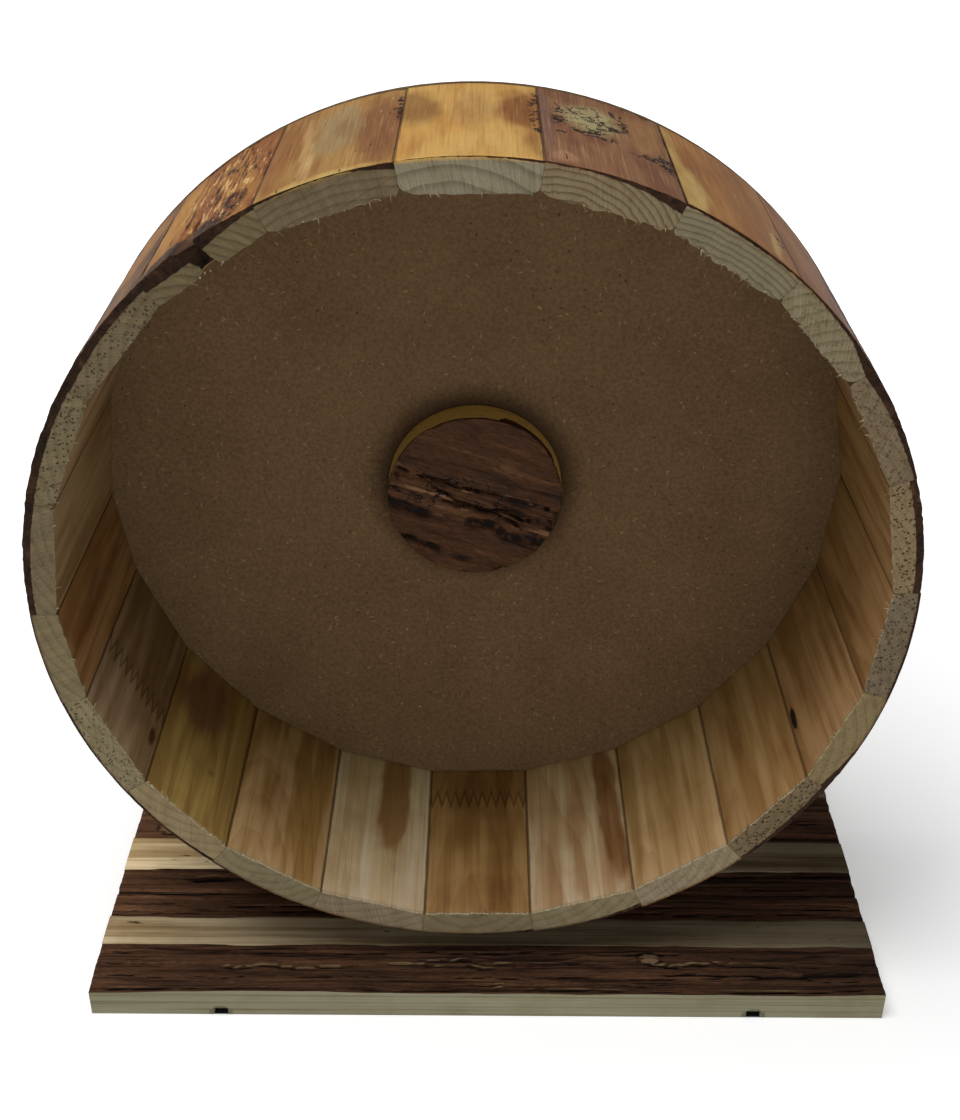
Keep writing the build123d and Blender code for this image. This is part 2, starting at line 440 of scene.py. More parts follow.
@dataclass
class WoodEffects:
    """The effects that several of the wheel's finishes share."""

    rings: Group = field(init=False)
    fibres: Group = field(init=False)
    saw: Group = field(init=False)
    bark: Group = field(init=False)
    seam: Group = field(init=False)
    fingers: Group = field(init=False)
    cracks: Group = field(init=False)
    grime: Group = field(init=False)

    def __post_init__(self) -> None:
        """Builds every group once."""
        self.rings, self.fibres, self.saw = self.growth_rings(), self.fibre_streaks(), self.saw_marks()
        self.bark, self.seam, self.fingers = self.bark_skin(), self.glue_seam(), self.finger_joint()
        self.cracks, self.grime = self.crack_lines(), self.handling_grime()

    @staticmethod
    def growth_rings() -> Group:
        """Builds growth rings round a pith, in coordinates where one ring is one unit.

        Returns:
            The group, which puts out the late wood as a mask.
        """
        shader, given, result = start_group(
            "growth_rings", {"Grain": ORIGIN, "Wobble": 0.5}, {"Late": "Float"}
        )
        x, _, z = shader.parts(given["Grain"])
        radius = shader.math("SQRT", x * x + z * z)
        drift = (shader.cloud(given["Grain"], (0.22, 0.03, 0.22), 2.0) - 0.5) * given["Wobble"]
        turn = shader.math("FRACT", radius + drift * 4.0)
        rise = shader.grade(turn, 0.25, 0.94)
        shader.feed(result["Late"], rise * rise * shader.grade(turn, 0.95, 1.0, 1.0, 0.0))
        return shader.tree

    @staticmethod
    def fibre_streaks() -> Group:
        """Builds the lines that run along the wood's fibres, which run along y.

        Returns:
            The group, which puts out fine and broad streaks.
        """
        shader, given, result = start_group(
            "fibre_streaks", {"Place": ORIGIN, "Along": 14.0}, {"Fine": "Float", "Broad": "Float"}
        )
        x, y, z = shader.parts(given["Place"])
        along = y * given["Along"]
        fine = shader.vector(x * 1500.0, along, z * 900.0)
        broad = shader.vector(x * 210.0, along, z * 120.0)
        shader.feed(result["Fine"], shader.cloud(fine, 1.0, 4.0, 0.6))
        shader.feed(result["Broad"], shader.cloud(broad, 1.0, 3.0))
        return shader.tree

    @staticmethod
    def saw_marks() -> Group:
        """Builds the scratches that a saw leaves in end grain, across a direction in the x z plane.

        Returns:
            The group, which puts out the scratches as a height.
        """
        shader, given, result = start_group(
            "saw_marks", {"Place": ORIGIN, "Way": (1.0, 0.0, 0.0), "Pitch": 1500.0}, {"Lines": "Float"}
        )
        x, _, z = shader.parts(given["Place"])
        cosine, sine, _ = shader.parts(given["Way"])
        over, along = x * cosine + z * sine, z * cosine - x * sine
        bow = over * given["Pitch"] + along * along * 4000.0
        shader.feed(result["Lines"], shader.cloud(shader.vector(bow, along * 110.0, 0.0), 1.0, 2.5, 0.6))
        return shader.tree

    @staticmethod
    def bark_skin() -> Group:
        """Builds rough inner bark: ridges, flakes and pale torn spots along the fibres.

        Returns:
            The group, which puts out a colour and a height.
        """
        shader, given, result = start_group(
            "bark_skin",
            {"Place": ORIGIN, "Dark": paint("261710"), "Middle": paint("53351f"), "Light": paint("85603c")},
            {"Colour": "Color", "Height": "Float"},
        )
        place = given["Place"]
        bend = shader.cloud(place, (70.0, 14.0, 70.0), 2.0)
        sway = shader.vector(bend * 2.8, 0.0, bend * 1.4)
        bent = shader.shift(shader.stretch(place, (260.0, 20.0, 260.0)), sway)
        ridges = shader.cloud(bent, 1.0, 6.0, 0.64)
        distance, flake = shader.cells(bent, (0.6, 1.1, 0.6))
        fine = shader.cloud(place, (1500.0, 300.0, 1500.0), 3.0, 0.6)
        mixed = ridges * 0.62 + flake * 0.13 + shader.cloud(place, (34.0, 16.0, 34.0)) * 0.25
        low = shader.blend(shader.grade(mixed, 0.38, 0.50), given["Dark"], given["Middle"])
        high = shader.blend(shader.grade(mixed, 0.52, 0.68), low, given["Light"])
        worn = shader.blend(shader.grade(fine, 0.42, 0.70, 0.0, 0.6), high, given["Dark"])
        torn = shader.blend(shader.grade(fine, 0.36, 0.24, 0.0, 0.5), worn, given["Light"])
        shader.feed(result["Colour"], torn)
        shader.feed(result["Height"], ridges * 0.75 + distance * 0.16 + fine * 0.16)
        return shader.tree

    @staticmethod
    def glue_seam() -> Group:
        """Builds the thin dark line where two pieces meet.

        Returns:
            The group, which puts out the line as a mask.
        """
        shader, given, result = start_group(
            "glue_seam", {"Edge": 0.01, "Place": ORIGIN, "Width": 0.0006}, {"Line": "Float"}
        )
        reach = given["Width"] * shader.cloud(given["Place"], (300.0, 90.0, 300.0)) * 2.4
        shader.feed(result["Line"], shader.grade(given["Edge"] / reach, 0.25, 1.0, 1.0, 0.0))
        return shader.tree

    @staticmethod
    def finger_joint() -> Group:
        """Builds a finger joint across a stave: a row of long thin teeth.

        Returns:
            The group, which puts out the teeth's dark edges and the wood behind them as masks.
        """
        shader, given, result = start_group(
            "finger_joint",
            {"Place": ORIGIN, "Depth": 0.0, "Length": 0.009, "Pitch": 0.0038},
            {"Line": "Float", "Behind": "Float"},
        )
        x, y, _ = shader.parts(given["Place"])
        wave = shader.math("PINGPONG", x / given["Pitch"], 0.5)
        past = y - given["Depth"] - (wave - 0.25) * given["Length"] * 2.0
        used = shader.math("GREATER_THAN", given["Depth"], 0.002)
        shader.feed(result["Line"], shader.grade(abs(past), 0.0005, 0.0030, 1.0, 0.0) * used)
        shader.feed(result["Behind"], shader.grade(past, -0.0003, 0.0003) * used)
        return shader.tree

    @staticmethod
    def crack_lines() -> Group:
        """Builds the damage of rough wood: jagged thin cracks, and short tears along the fibres.

        Returns:
            The group, which puts out the cracks, the dark tears and the pale tears as masks.
        """
        shader, given, result = start_group(
            "crack_lines",
            {"Place": ORIGIN, "Cracked": 0.0, "Torn": 0.0},
            {"Crack": "Float", "Tear": "Float", "Pale": "Float"},
        )
        jag = shader.cloud(given["Place"], (110.0, 95.0, 110.0), 6.0, 0.62)
        line = shader.grade(abs(jag - 0.5) / (given["Cracked"] * 0.034 + 0.0001), 0.4, 1.0, 1.0, 0.0)
        shader.feed(result["Crack"], line * shader.grade(given["Cracked"], 0.15, 0.4))
        tear = shader.cloud(given["Place"], (620.0, 75.0, 620.0), 4.0, 0.68)
        spread = given["Torn"] * 0.17
        shader.feed(result["Tear"], shader.grade(tear + spread, 0.72, 0.77))
        shader.feed(result["Pale"], shader.grade(tear - spread, 0.28, 0.22))
        return shader.tree

    @staticmethod
    def handling_grime() -> Group:
        """Builds the cloudy dirt that bare wood picks up.

        Returns:
            The group, which puts out the dirt as a mask.
        """
        shader, given, result = start_group(
            "handling_grime", {"Place": ORIGIN, "Amount": 0.5}, {"Dirt": "Float"}
        )
        wide = shader.grade(shader.cloud(given["Place"], 38.0, 4.0, 0.6), 0.42, 0.72)
        specks = shader.grade(shader.cloud(given["Place"], 900.0, 2.0), 0.66, 0.76, 0.0, 0.5)
        shader.feed(result["Dirt"], (wide + specks) * given["Amount"])
        return shader.tree


@dataclass(frozen=True)
class StaveFinish:
    """Bare softwood staves with bark left along the outside."""

    seam: Colour = paint("3c2413")
    pit: Colour = paint("1c100a")
    torn: Colour = paint("cdc6a4")

    def end(self, effects: WoodEffects) -> Material:
        """Builds the sawn end grain: rings, saw scratches, pores and the bark's edge.

        Args:
            effects: The shared effects.

        Returns:
            The material.
        """
        shader = start_material("stave_end_grain", 0.8, 0.15)
        place, marks, rings = (shader.painted(name) for name in ("place", "marks", "rings"))
        saw, hatch = shader.painted("saw"), shader.painted("hatch")
        late = shader.effect(effects.rings, Grain=shader.painted("grain").vector, Wobble=0.22)["Late"]
        body = shader.darken(late * rings.x, shader.painted("tone").colour, 0.34, 0.29, 0.22)
        mottle = shader.cloud(place.vector, 130.0, 4.0, 0.6)
        body = shader.darken(shader.grade(mottle, 0.42, 0.72, 0.0, 0.5), body, 0.74, 0.68, 0.58)
        lines = shader.effect(effects.saw, Place=place.vector, Way=saw.vector, Pitch=1400.0)["Lines"]
        body = shader.darken(shader.grade(lines, 0.50, 0.61) * saw.z, body, 0.48, 0.45, 0.40)
        body = shader.blend(shader.grade(lines, 0.39, 0.32) * saw.z * 0.5, body, self.torn)
        cross = shader.effect(effects.saw, Place=place.vector, Way=hatch.vector, Pitch=1150.0)["Lines"]
        body = shader.darken(shader.grade(cross, 0.52, 0.61) * hatch.z, body, 0.50, 0.47, 0.40)
        dot, chance = shader.cells(place.vector, (900.0, 0.0, 900.0))
        pores = shader.grade(dot, 0.44, 0.24) * shader.grade(chance, 0.2, 0.45) * rings.y
        body = shader.darken(pores, body, 0.30, 0.25, 0.19)
        rag = shader.cloud(place.vector, (420.0, 60.0, 420.0), 4.0, 0.6)
        body = shader.blend(marks.x * shader.grade(rag, 0.3, 0.6), body, paint("46301e"))
        crack = shader.effect(effects.cracks, Place=place.vector, Cracked=marks.y, Torn=0.0)["Crack"]
        body = shader.blend(crack, body, self.pit)
        crust = shader.grade(rings.z - place.z + (rag - 0.5) * 0.0012, 0.0, 0.0002)
        crust = shader.math("MAXIMUM", crust, shader.grade(marks.z + rag * 0.5, 0.62, 0.78))
        close = shader.stretch(place.vector, (1.6, 1.6, 1.6))
        skin = shader.effect(
            effects.bark, Place=close, Dark=paint("160d07"), Middle=paint("372213"), Light=paint("5e4029")
        )
        body = shader.blend(crust, body, skin["Colour"])
        fuzz = shader.cloud(place.vector, 2600.0, 2.0, 0.6)
        height = lines * 0.8 + fuzz * 0.4 - pores * 0.6 - crack + skin["Height"] * crust * 1.8
        return shader.finish(body, height, 0.0004)

    def outside(self, effects: WoodEffects) -> Material:
        """Builds the turned outside: inner bark colours, stains, tears and bark left on.

        Args:
            effects: The shared effects.

        Returns:
            The material.
        """
        shader = start_material("stave_outside", 0.6, 0.3)
        place, marks = shader.painted("place"), shader.painted("marks")
        spot = place.vector
        fibres = shader.effect(effects.fibres, Place=spot, Along=34.0)
        broad = shader.grade(fibres["Broad"], 0.40, 0.72, 0.0, 0.55)
        body = shader.darken(broad, shader.painted("tone").colour, 0.66, 0.50, 0.38)
        body = shader.darken(shader.grade(fibres["Fine"], 0.46, 0.75, 0.0, 0.5), body, 0.60, 0.52, 0.44)
        body = shader.blend(shader.grade(fibres["Fine"], 0.48, 0.26, 0.0, 0.22), body, paint("eccb8c"))
        cloudy = shader.cloud(spot, (110.0, 42.0, 110.0), 4.0, 0.6)
        stain = shader.grade(marks.x + cloudy * 0.9, 0.70, 1.05)
        body = shader.blend(stain * 0.85, body, paint("542c17"))
        damage = shader.effect(effects.cracks, Place=spot, Cracked=marks.y, Torn=marks.alpha)
        body = shader.blend(damage["Pale"] * 0.7, body, paint("eec682"))
        crack = shader.math("MAXIMUM", damage["Crack"], damage["Tear"] * 0.85)
        body = shader.blend(crack, body, self.pit)
        rag = shader.cloud(spot, (300.0, 120.0, 300.0), 5.0, 0.65)
        crust = shader.grade(marks.z + rag * 0.9, 0.86, 0.98)
        skin = shader.effect(effects.bark, Place=shader.stretch(spot, (1.2, 1.2, 1.2)))
        body = shader.blend(crust, body, skin["Colour"])
        joint = shader.painted("edge").value
        seam = shader.effect(effects.seam, Edge=joint, Place=spot, Width=0.0005)["Line"]
        body = shader.blend(seam * 0.5, body, self.seam)
        height = fibres["Fine"] * 0.3 - crack * 1.2 + skin["Height"] * crust * 2.4 - seam
        return shader.finish(body, height, 0.00045)

    def inside(self, effects: WoodEffects) -> Material:
        """Builds the planed inside: ring lines along the fibres, seams, knots and finger joints.

        Args:
            effects: The shared effects.

        Returns:
            The material.
        """
        shader = start_material("stave_inside", 0.72, 0.2)
        place, marks, rings = (shader.painted(name) for name in ("place", "marks", "rings"))
        spot = place.vector
        late = shader.effect(effects.rings, Grain=shader.painted("grain").vector, Wobble=0.6)["Late"]
        fibres = shader.effect(effects.fibres, Place=spot, Along=9.0)
        # The painted tone carries the inside's painted light and shade, lighter at the front and darker
        # towards the disc.
        body = shader.darken(late * rings.x, shader.painted("tone").colour, 0.66, 0.50, 0.33)
        body = shader.darken(shader.grade(fibres["Fine"], 0.44, 0.75, 0.0, 0.55), body, 0.70, 0.61, 0.50)
        body = shader.darken(shader.grade(fibres["Broad"], 0.5, 0.75, 0.0, 0.5), body, 0.70, 0.58, 0.42)
        flame = shader.cloud(spot, (190.0, 18.0, 60.0), 4.0, 0.65)
        stain = shader.grade(marks.x + flame * 0.6, 0.40, 1.05)
        body = shader.darken(stain * 0.85, body, 0.46, 0.29, 0.14)
        teeth = shader.effect(effects.fingers, Place=spot, Depth=shader.painted("finger").value)
        body = shader.darken(teeth["Behind"] * 0.55, body, 0.60, 0.48, 0.38)
        body = shader.darken(teeth["Line"] * 0.75, body, 0.36, 0.25, 0.17)
        body = shader.blend(shader.grade(marks.y + flame * 0.4, 0.55, 0.85), body, self.pit)
        dirt = shader.effect(effects.grime, Place=spot, Amount=0.4)["Dirt"]
        body = shader.darken(dirt, body, 0.60, 0.48, 0.36)
        joint = shader.painted("edge").value
        seam = shader.effect(effects.seam, Edge=joint, Place=spot, Width=0.0006)["Line"]
        body = shader.blend(seam * 0.75, body, self.seam)
        frayed = shader.grade(place.y, 0.0009, 0.0001) * shader.grade(fibres["Fine"], 0.62, 0.42)
        body = shader.blend(frayed * 0.7, body, self.torn)
        return shader.finish(body, fibres["Fine"] * 0.6 + late * 0.25 - seam, 0.00022)

    def torn_fibre(self) -> Material:
        """Builds the pale fibres that stand off a sawn edge.

        Returns:
            The material.
        """
        shader = start_material("torn_fibre", 0.85, 0.15)
        where = shader.where()
        tone = shader.grade(shader.cloud(where, 420.0, 2.0), 0.3, 0.7)
        body = shader.blend(tone, paint("8c8062"), paint("bcb494"))
        return shader.finish(body, shader.cloud(where, 3000.0), 0.0001)


@dataclass(frozen=True)
class SlabFinish:
    """A base slab: planed strips between bark, and sawn edges."""

    planed: Colour = paint("b2a282")
    planed_dark: Colour = paint("806b4b")
    sawn: Colour = paint("8d886e")
    chip: Colour = paint("9c8460")

    def top(self, effects: WoodEffects) -> Material:
        """Builds the slab's top: bark with planed strips where it was flattened.

        Args:
            effects: The shared effects.

        Returns:
            The material.
        """
        shader = start_material("slab_top", 0.82, 0.12)
        place, marks, tone = (shader.painted(name) for name in ("place", "marks", "tone"))
        spot = place.vector
        fibres = shader.effect(effects.fibres, Place=spot, Along=7.0)
        wood = shader.blend(shader.grade(fibres["Broad"], 0.36, 0.66), self.planed, self.planed_dark)
        wood = shader.darken(shader.grade(fibres["Fine"], 0.44, 0.75, 0.0, 0.6), wood, 0.56, 0.48, 0.40)
        dirt = shader.effect(effects.grime, Place=spot, Amount=0.5)["Dirt"]
        # The tone's alpha is the planed strip's painted light and shade, lighter on the left and darker on
        # the right.
        shade = shader.vector(tone.alpha, tone.alpha, tone.alpha)
        wood = shader.blend(1.0, shader.darken(dirt, wood, 0.66, 0.56, 0.46), shade, "MULTIPLY")
        fine = shader.stretch(spot, (2.1, 0.9, 2.1))
        skin = shader.effect(
            effects.bark, Place=fine, Dark=paint("22150d"), Middle=paint("4e3626"), Light=paint("6a4c36")
        )
        # The tone's colour carries the bark's painted light and shade, lighter on the left and darker on the
        # right.
        bark = shader.blend(1.0, skin["Colour"], tone.colour, "MULTIPLY")
        bark = shader.darken(shader.grade(fibres["Fine"], 0.50, 0.62, 0.0, 0.8), bark, 0.40, 0.34, 0.30)
        rag = shader.cloud(spot, (420.0, 40.0, 420.0), 4.0, 0.6)
        flat = shader.grade(marks.x + (rag - 0.5) * 0.5, 0.42, 0.58)
        body = shader.blend(flat, bark, wood)
        damage = shader.effect(effects.cracks, Place=spot, Cracked=0.0, Torn=0.25)
        body = shader.blend(damage["Pale"] * (1.0 - flat) * 0.55, body, self.chip)
        body = shader.blend(damage["Tear"] * 0.8, body, paint("140b06"))
        crack = shader.grade(marks.y + rag * 0.4, 0.5, 0.8)
        body = shader.blend(crack, body, paint("100804"))
        lip = shader.grade(marks.z + rag * 0.9 + fibres["Fine"] * 0.5, 1.05, 1.25)
        body = shader.blend(lip * 0.4, body, self.chip)
        height = skin["Height"] * (1.0 - flat) * 3.0 + fibres["Fine"] * 0.35 - damage["Tear"]
        return shader.finish(body, height, 0.0006)

    def edge(self, effects: WoodEffects) -> Material:
        """Builds the slab's sawn edges and underside.

        Args:
            effects: The shared effects.

        Returns:
            The material.
        """
        shader = start_material("slab_sawn_edge", 0.84, 0.12)
        spot = shader.painted("place").vector
        fibres = shader.effect(effects.fibres, Place=spot, Along=6.0)
        body = shader.blend(shader.grade(fibres["Fine"], 0.44, 0.74, 0.0, 0.75), self.sawn, paint("5e5438"))
        body = shader.blend(shader.grade(fibres["Broad"], 0.48, 0.74, 0.0, 0.5), body, paint("a19e86"))
        damage = shader.effect(effects.cracks, Place=spot, Cracked=0.0, Torn=0.1)
        body = shader.blend(damage["Pale"] * 0.7, body, paint("b7b297"))
        dirt = shader.effect(effects.grime, Place=spot, Amount=0.5)["Dirt"]
        return shader.finish(shader.darken(dirt, body, 0.72, 0.66, 0.54), fibres["Fine"], 0.0005)


@dataclass(frozen=True)
class BoardFinish:
    """Pressed fibre board: brown felted fibres with a few pale flecks."""

    ground: Colour = paint("6f583c")
    shade: Colour = paint("5e4831")
    fleck: Colour = paint("a88c64")

    def material(self, effects: WoodEffects) -> Material:
        """Builds the fibre board, with a ring of painted shade round the hub cap.

        Args:
            effects: The shared effects.

        Returns:
            The material.
        """
        shader = start_material("fibre_board", 0.85, 0.12)
        where = shader.where()
        felt = shader.cloud(where, 700.0, 5.0, 0.7)
        body = shader.blend(shader.grade(felt, 0.34, 0.66), self.shade, self.ground)
        cloudy = shader.grade(shader.cloud(where, 26.0), 0.35, 0.7, 0.0, 0.5)
        body = shader.darken(cloudy, body, 0.78, 0.74, 0.68)
        for turn in (17.0, 80.0, 143.0):
            laid = shader.turned(shader.shift(where, (turn, 0.0, turn)), (0.0, turn, 0.0))
            hair, chance = shader.cells(laid, (230.0, 2.0, 900.0))
            seen = shader.grade(hair, 0.26, 0.10) * shader.grade(chance, 0.90, 0.96) * 0.5
            body = shader.blend(seen, body, self.fleck)
        speck, chance = shader.cells(where, (520.0, 20.0, 520.0))
        seen = shader.grade(speck, 0.26, 0.12) * shader.grade(chance, 0.95, 0.97) * 0.8
        body = shader.blend(seen, body, paint("2a1c10"))
        # Painted shade: the board darkens in a ring round the hub cap, darkest at the cap's edge and gone at
        # 1.35 times its radius.
        low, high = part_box("hub_cap")
        x, _, z = shader.parts(where)
        aside, above = x - (low.x + high.x) / 2, z - (low.z + high.z) / 2
        ring = shader.math("SQRT", aside * aside + above * above) / ((high.x - low.x) / 2)
        body = shader.darken(shader.grade(ring, 1.35, 0.98), body, 0.36, 0.33, 0.30)
        dirt = shader.effect(effects.grime, Place=where, Amount=0.2)["Dirt"]
        return shader.finish(shader.darken(dirt, body, 0.7, 0.64, 0.58), felt, 0.00012)


@dataclass(frozen=True)
class HubFinish:
    """A thin slice of barked wood."""

    rim: Colour = paint("d8b868")

    def material(self, effects: WoodEffects) -> Material:
        """Builds the cap: dark bark in front and pale wood at the rim.

        Args:
            effects: The shared effects.

        Returns:
            The material.
        """
        shader = start_material("hub_cap_bark", 0.7, 0.12)
        place, marks = shader.painted("place"), shader.painted("marks")
        spot = place.vector
        skin = shader.effect(
            effects.bark, Place=spot, Dark=paint("1c1009"), Middle=paint("4a2f1c"), Light=paint("6e4a2e")
        )
        fibres = shader.effect(effects.fibres, Place=spot, Along=12.0)
        wood = shader.blend(shader.grade(fibres["Fine"], 0.40, 0.75, 0.0, 0.7), self.rim, paint("a88444"))
        rag = shader.cloud(spot, 300.0, 4.0, 0.6)
        bark = shader.grade(marks.x + (rag - 0.5) * 0.4, 0.44, 0.56)
        body = shader.blend(bark, wood, skin["Colour"])
        bent = shader.stretch(spot, (0.7, 0.45, 0.7))
        damage = shader.effect(effects.cracks, Place=bent, Cracked=marks.z * 0.5, Torn=marks.z * 0.55 + 0.25)
        body = shader.blend(damage["Pale"] * bark * 0.6, body, paint("96704c"))
        # Painted highlight: pale streaks along the ridges in the middle band of the bark.
        lit = shader.grade(shader.cloud(spot, (520.0, 26.0, 520.0), 5.0, 0.7), 0.58, 0.68) * bark * marks.z
        body = shader.blend(lit * 0.6, body, paint("8c6644"))
        deep = shader.math("MAXIMUM", marks.y * shader.grade(rag, 0.3, 0.5), damage["Tear"] * bark * 0.9)
        deep = shader.math("MAXIMUM", deep, damage["Crack"] * bark)
        body = shader.blend(deep, body, paint("0a0503"))
        height = skin["Height"] * shader.grade(bark, 0.0, 1.0, 0.3, 2.6) - damage["Tear"]
        return shader.finish(body, height, 0.0005)


@dataclass(frozen=True)
class PlainWoodFinish:
    """Planed softwood, bare. Its fibres run up where upright is True, and else from front to back."""

    name: str
    upright: bool
    early: Colour
    late: Colour

    def material(self, effects: WoodEffects) -> Material:
        """Builds planed softwood.

        Args:
            effects: The shared effects.

        Returns:
            The material.
        """
        shader = start_material(self.name, 0.66, 0.3)
        x, y, z = shader.parts(shader.where())
        along, through = (z, y) if self.upright else (y, z)
        place = shader.vector(x, along, through)
        grain = shader.vector((x - 0.012) * 230.0, along * 60.0, (through + 0.004) * 230.0)
        late = shader.effect(effects.rings, Grain=grain, Wobble=0.6)["Late"]
        fibres = shader.effect(effects.fibres, Place=place, Along=8.0)
        body = shader.blend(late * 0.62, self.early, self.late)
        body = shader.darken(shader.grade(fibres["Fine"], 0.42, 0.75, 0.0, 0.45), body, 0.76, 0.66, 0.54)
        dirt = shader.effect(effects.grime, Place=place, Amount=0.3)["Dirt"]
        return shader.finish(shader.darken(dirt, body, 0.74, 0.66, 0.56), fibres["Fine"], 0.00015)


@dataclass(frozen=True)
class MetalFinish:
    """A bare or plated metal, with the fine wear that handling leaves."""

    name: str
    light: str
    dark: str
    roughness: float

    def material(self) -> Material:
        """Builds the metal.

        Returns:
            The material.
        """
        shader = start_material(self.name, self.roughness, 0.5, 1.0)
        where = shader.where()
        cloudy = shader.grade(shader.cloud(where, 240.0, 4.0, 0.6), 0.35, 0.68)
        fine = shader.cloud(where, (4200.0, 1000.0, 4200.0), 3.0, 0.6)
        worn = shader.grade(fine, 0.3, 0.7, self.roughness * 0.8, self.roughness * 1.35)
        shader.feed(shader.surface.inputs["Roughness"], worn)
        return shader.finish(shader.blend(cloudy, paint(self.light), paint(self.dark)), fine, 0.00004)


class Bench:
    """The hand tools. Each works on one piece at a time."""

    @staticmethod
    def clear() -> None:
        """Deselects everything."""
        bpy.ops.object.select_all(action="DESELECT")

    @staticmethod
    def take(piece: Piece) -> None:
        """Makes one piece the only selected one.

        Args:
            piece: The piece.
        """
        Bench.clear()
        piece.select_set(True)
        bpy.context.view_layer.objects.active = piece

    @staticmethod
    def read(rows: Rows, name: str, width: int = 3, kind: type = float) -> np.ndarray:
        """Reads one property of all vertices, edges or faces.

        Args:
            rows: The vertices, edges or faces.
            name: The property's name.
            width: How many numbers each of them has.
            kind: The numbers' type.

        Returns:
            One row of numbers for each.
        """
        values = np.zeros(len(rows) * width, dtype=kind)
        rows.foreach_get(name, values)
        return values.reshape(-1, width)

    @staticmethod
    def points(piece: Piece) -> np.ndarray:
        """Reads a piece's vertices as rows of x, y and z."""
        return Bench.read(piece.data.vertices, "co")

    @staticmethod
    def place_points(piece: Piece, rows: np.ndarray) -> None:
        """Writes a piece's vertices back."""
        piece.data.vertices.foreach_set("co", rows.ravel())
        piece.data.update()

    @staticmethod
    def pick(piece: Piece, kind: str, chosen: np.ndarray) -> None:
        """Selects parts of a piece and opens it for editing.

        Args:
            piece: The piece.
            kind: "vertices", "edges" or "polygons".
            chosen: True for each one that is wanted.
        """
        Bench.take(piece)
        kinds = ("vertices", "edges", "polygons")
        for name in kinds:
            every = getattr(piece.data, name)
            every.foreach_set("select", np.zeros(len(every), dtype=bool))
        getattr(piece.data, kind).foreach_set("select", chosen.astype(bool))
        bpy.context.tool_settings.mesh_select_mode = [name == kind for name in kinds]
        bpy.ops.object.mode_set(mode="EDIT")

    @staticmethod
    def lay_down() -> None:
        """Closes the piece after editing."""
        bpy.ops.object.mode_set(mode="OBJECT")

    @staticmethod
    def cut_along(piece: Piece, axis: int, cuts: int) -> None:
        """Cuts the edges that run along an axis into even lengths.

        Args:
            piece: The piece.
            axis: 0, 1 or 2 for x, y or z.
            cuts: How many cuts each edge gets.
        """
        rows, ends = Bench.points(piece), Bench.read(piece.data.edges, "vertices", 2, int)
        run = np.abs(rows[ends[:, 0]] - rows[ends[:, 1]])
        Bench.pick(piece, "edges", run[:, axis] > 0.9 * np.linalg.norm(run, axis=1))
        bpy.ops.mesh.subdivide(number_cuts=cuts)
        Bench.lay_down()

    @staticmethod
    def settle(piece: Piece) -> None:
        """Applies the piece's place, turn and size, so that they are in its mesh."""
        Bench.take(piece)
        bpy.ops.object.transform_apply(location=True, rotation=True, scale=True)

    @staticmethod
    def outward(piece: Piece) -> None:
        """Turns all faces outwards.

        Args:
            piece: The piece.
        """
        Bench.pick(piece, "polygons", np.ones(len(piece.data.polygons)))
        bpy.ops.mesh.normals_make_consistent(inside=False)
        Bench.lay_down()

    @staticmethod
    def ease_edges(piece: Piece, width: float, angle: float = 60.0) -> None:
        """Breaks the sharp edges with an applied Bevel.

        Args:
            piece: The piece.
            width: The bevel's width in metres.
            angle: The turn in degrees from which an edge counts as sharp.
        """
        Bench.take(piece)
        bevel = piece.modifiers.new("broken_edges", "BEVEL")
        bevel.width, bevel.segments = width, 2
        bevel.limit_method, bevel.angle_limit = "ANGLE", math.radians(angle)
        bpy.ops.object.modifier_apply(modifier=bevel.name)

    @staticmethod
    def smooth(piece: Piece, angle: float = 38.0) -> None:
        """Shades a piece smooth, except over sharp edges."""
        Bench.take(piece)
        bpy.ops.object.shade_smooth_by_angle(angle=math.radians(angle))

    @staticmethod
    def write(piece: Piece, **painted: np.ndarray) -> None:
        """Paints attributes on the piece's vertices.

        Args:
            piece: The piece.
            **painted: For each attribute, one number or one row of three or four for each vertex.
        """
        kinds = {1: ("FLOAT", "value"), 3: ("FLOAT_VECTOR", "vector"), 4: ("FLOAT_COLOR", "color")}
        for name, rows in painted.items():
            kind, channel = kinds[1 if rows.ndim == 1 else rows.shape[1]]
            made = piece.data.attributes.new(name, kind, "POINT")
            made.data.foreach_set(channel, np.ascontiguousarray(rows, dtype=np.float32).ravel())

    @staticmethod
    def dress(piece: Piece, materials: list[Material], chosen: np.ndarray | None = None) -> None:
        """Gives a piece its materials.

        Args:
            piece: The piece.
            materials: The materials, in the order of the slots.
            chosen: The slot number of each face, or None where there is one material.
        """
        piece.data.materials.clear()
        for material in materials:
            piece.data.materials.append(material)
        if chosen is not None:
            piece.data.polygons.foreach_set("material_index", chosen.astype(int))

    @staticmethod
    def mount(piece: Piece, body: str, slot: str, *nodes: str) -> None:
        """Lets a piece ride on a body.

        Args:
            piece: The piece.
            body: The body's name.
            slot: The piece's slot. It is not used.
            *nodes: The construction solids that it takes the place of.
        """
        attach(piece, body)
        if nodes:
            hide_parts(*nodes)
        LOG.info("%s: %d faces on %s", piece.name, len(piece.data.polygons), body)


@dataclass(frozen=True)
class Patch:
    """A soft-edged spot on one side of a stave.

    across runs from -1 at the left joint to 1 at the right one, seen with the stave on top, and
    depth from 0 in front to 1 at the disc. wide and long are half sizes in millimetres. The
    colour is a chart code. The rest says how strong each kind of mark is.
    """

    side: Side
    across: float
    depth: float
    wide: float
    long: float
    colour: str = ""
    stain: float = 0.0
    crack: float = 0.0
    crust: float = 0.0
    torn: float = 0.0
    lean: float = 0.0
    strength: float = 1.0


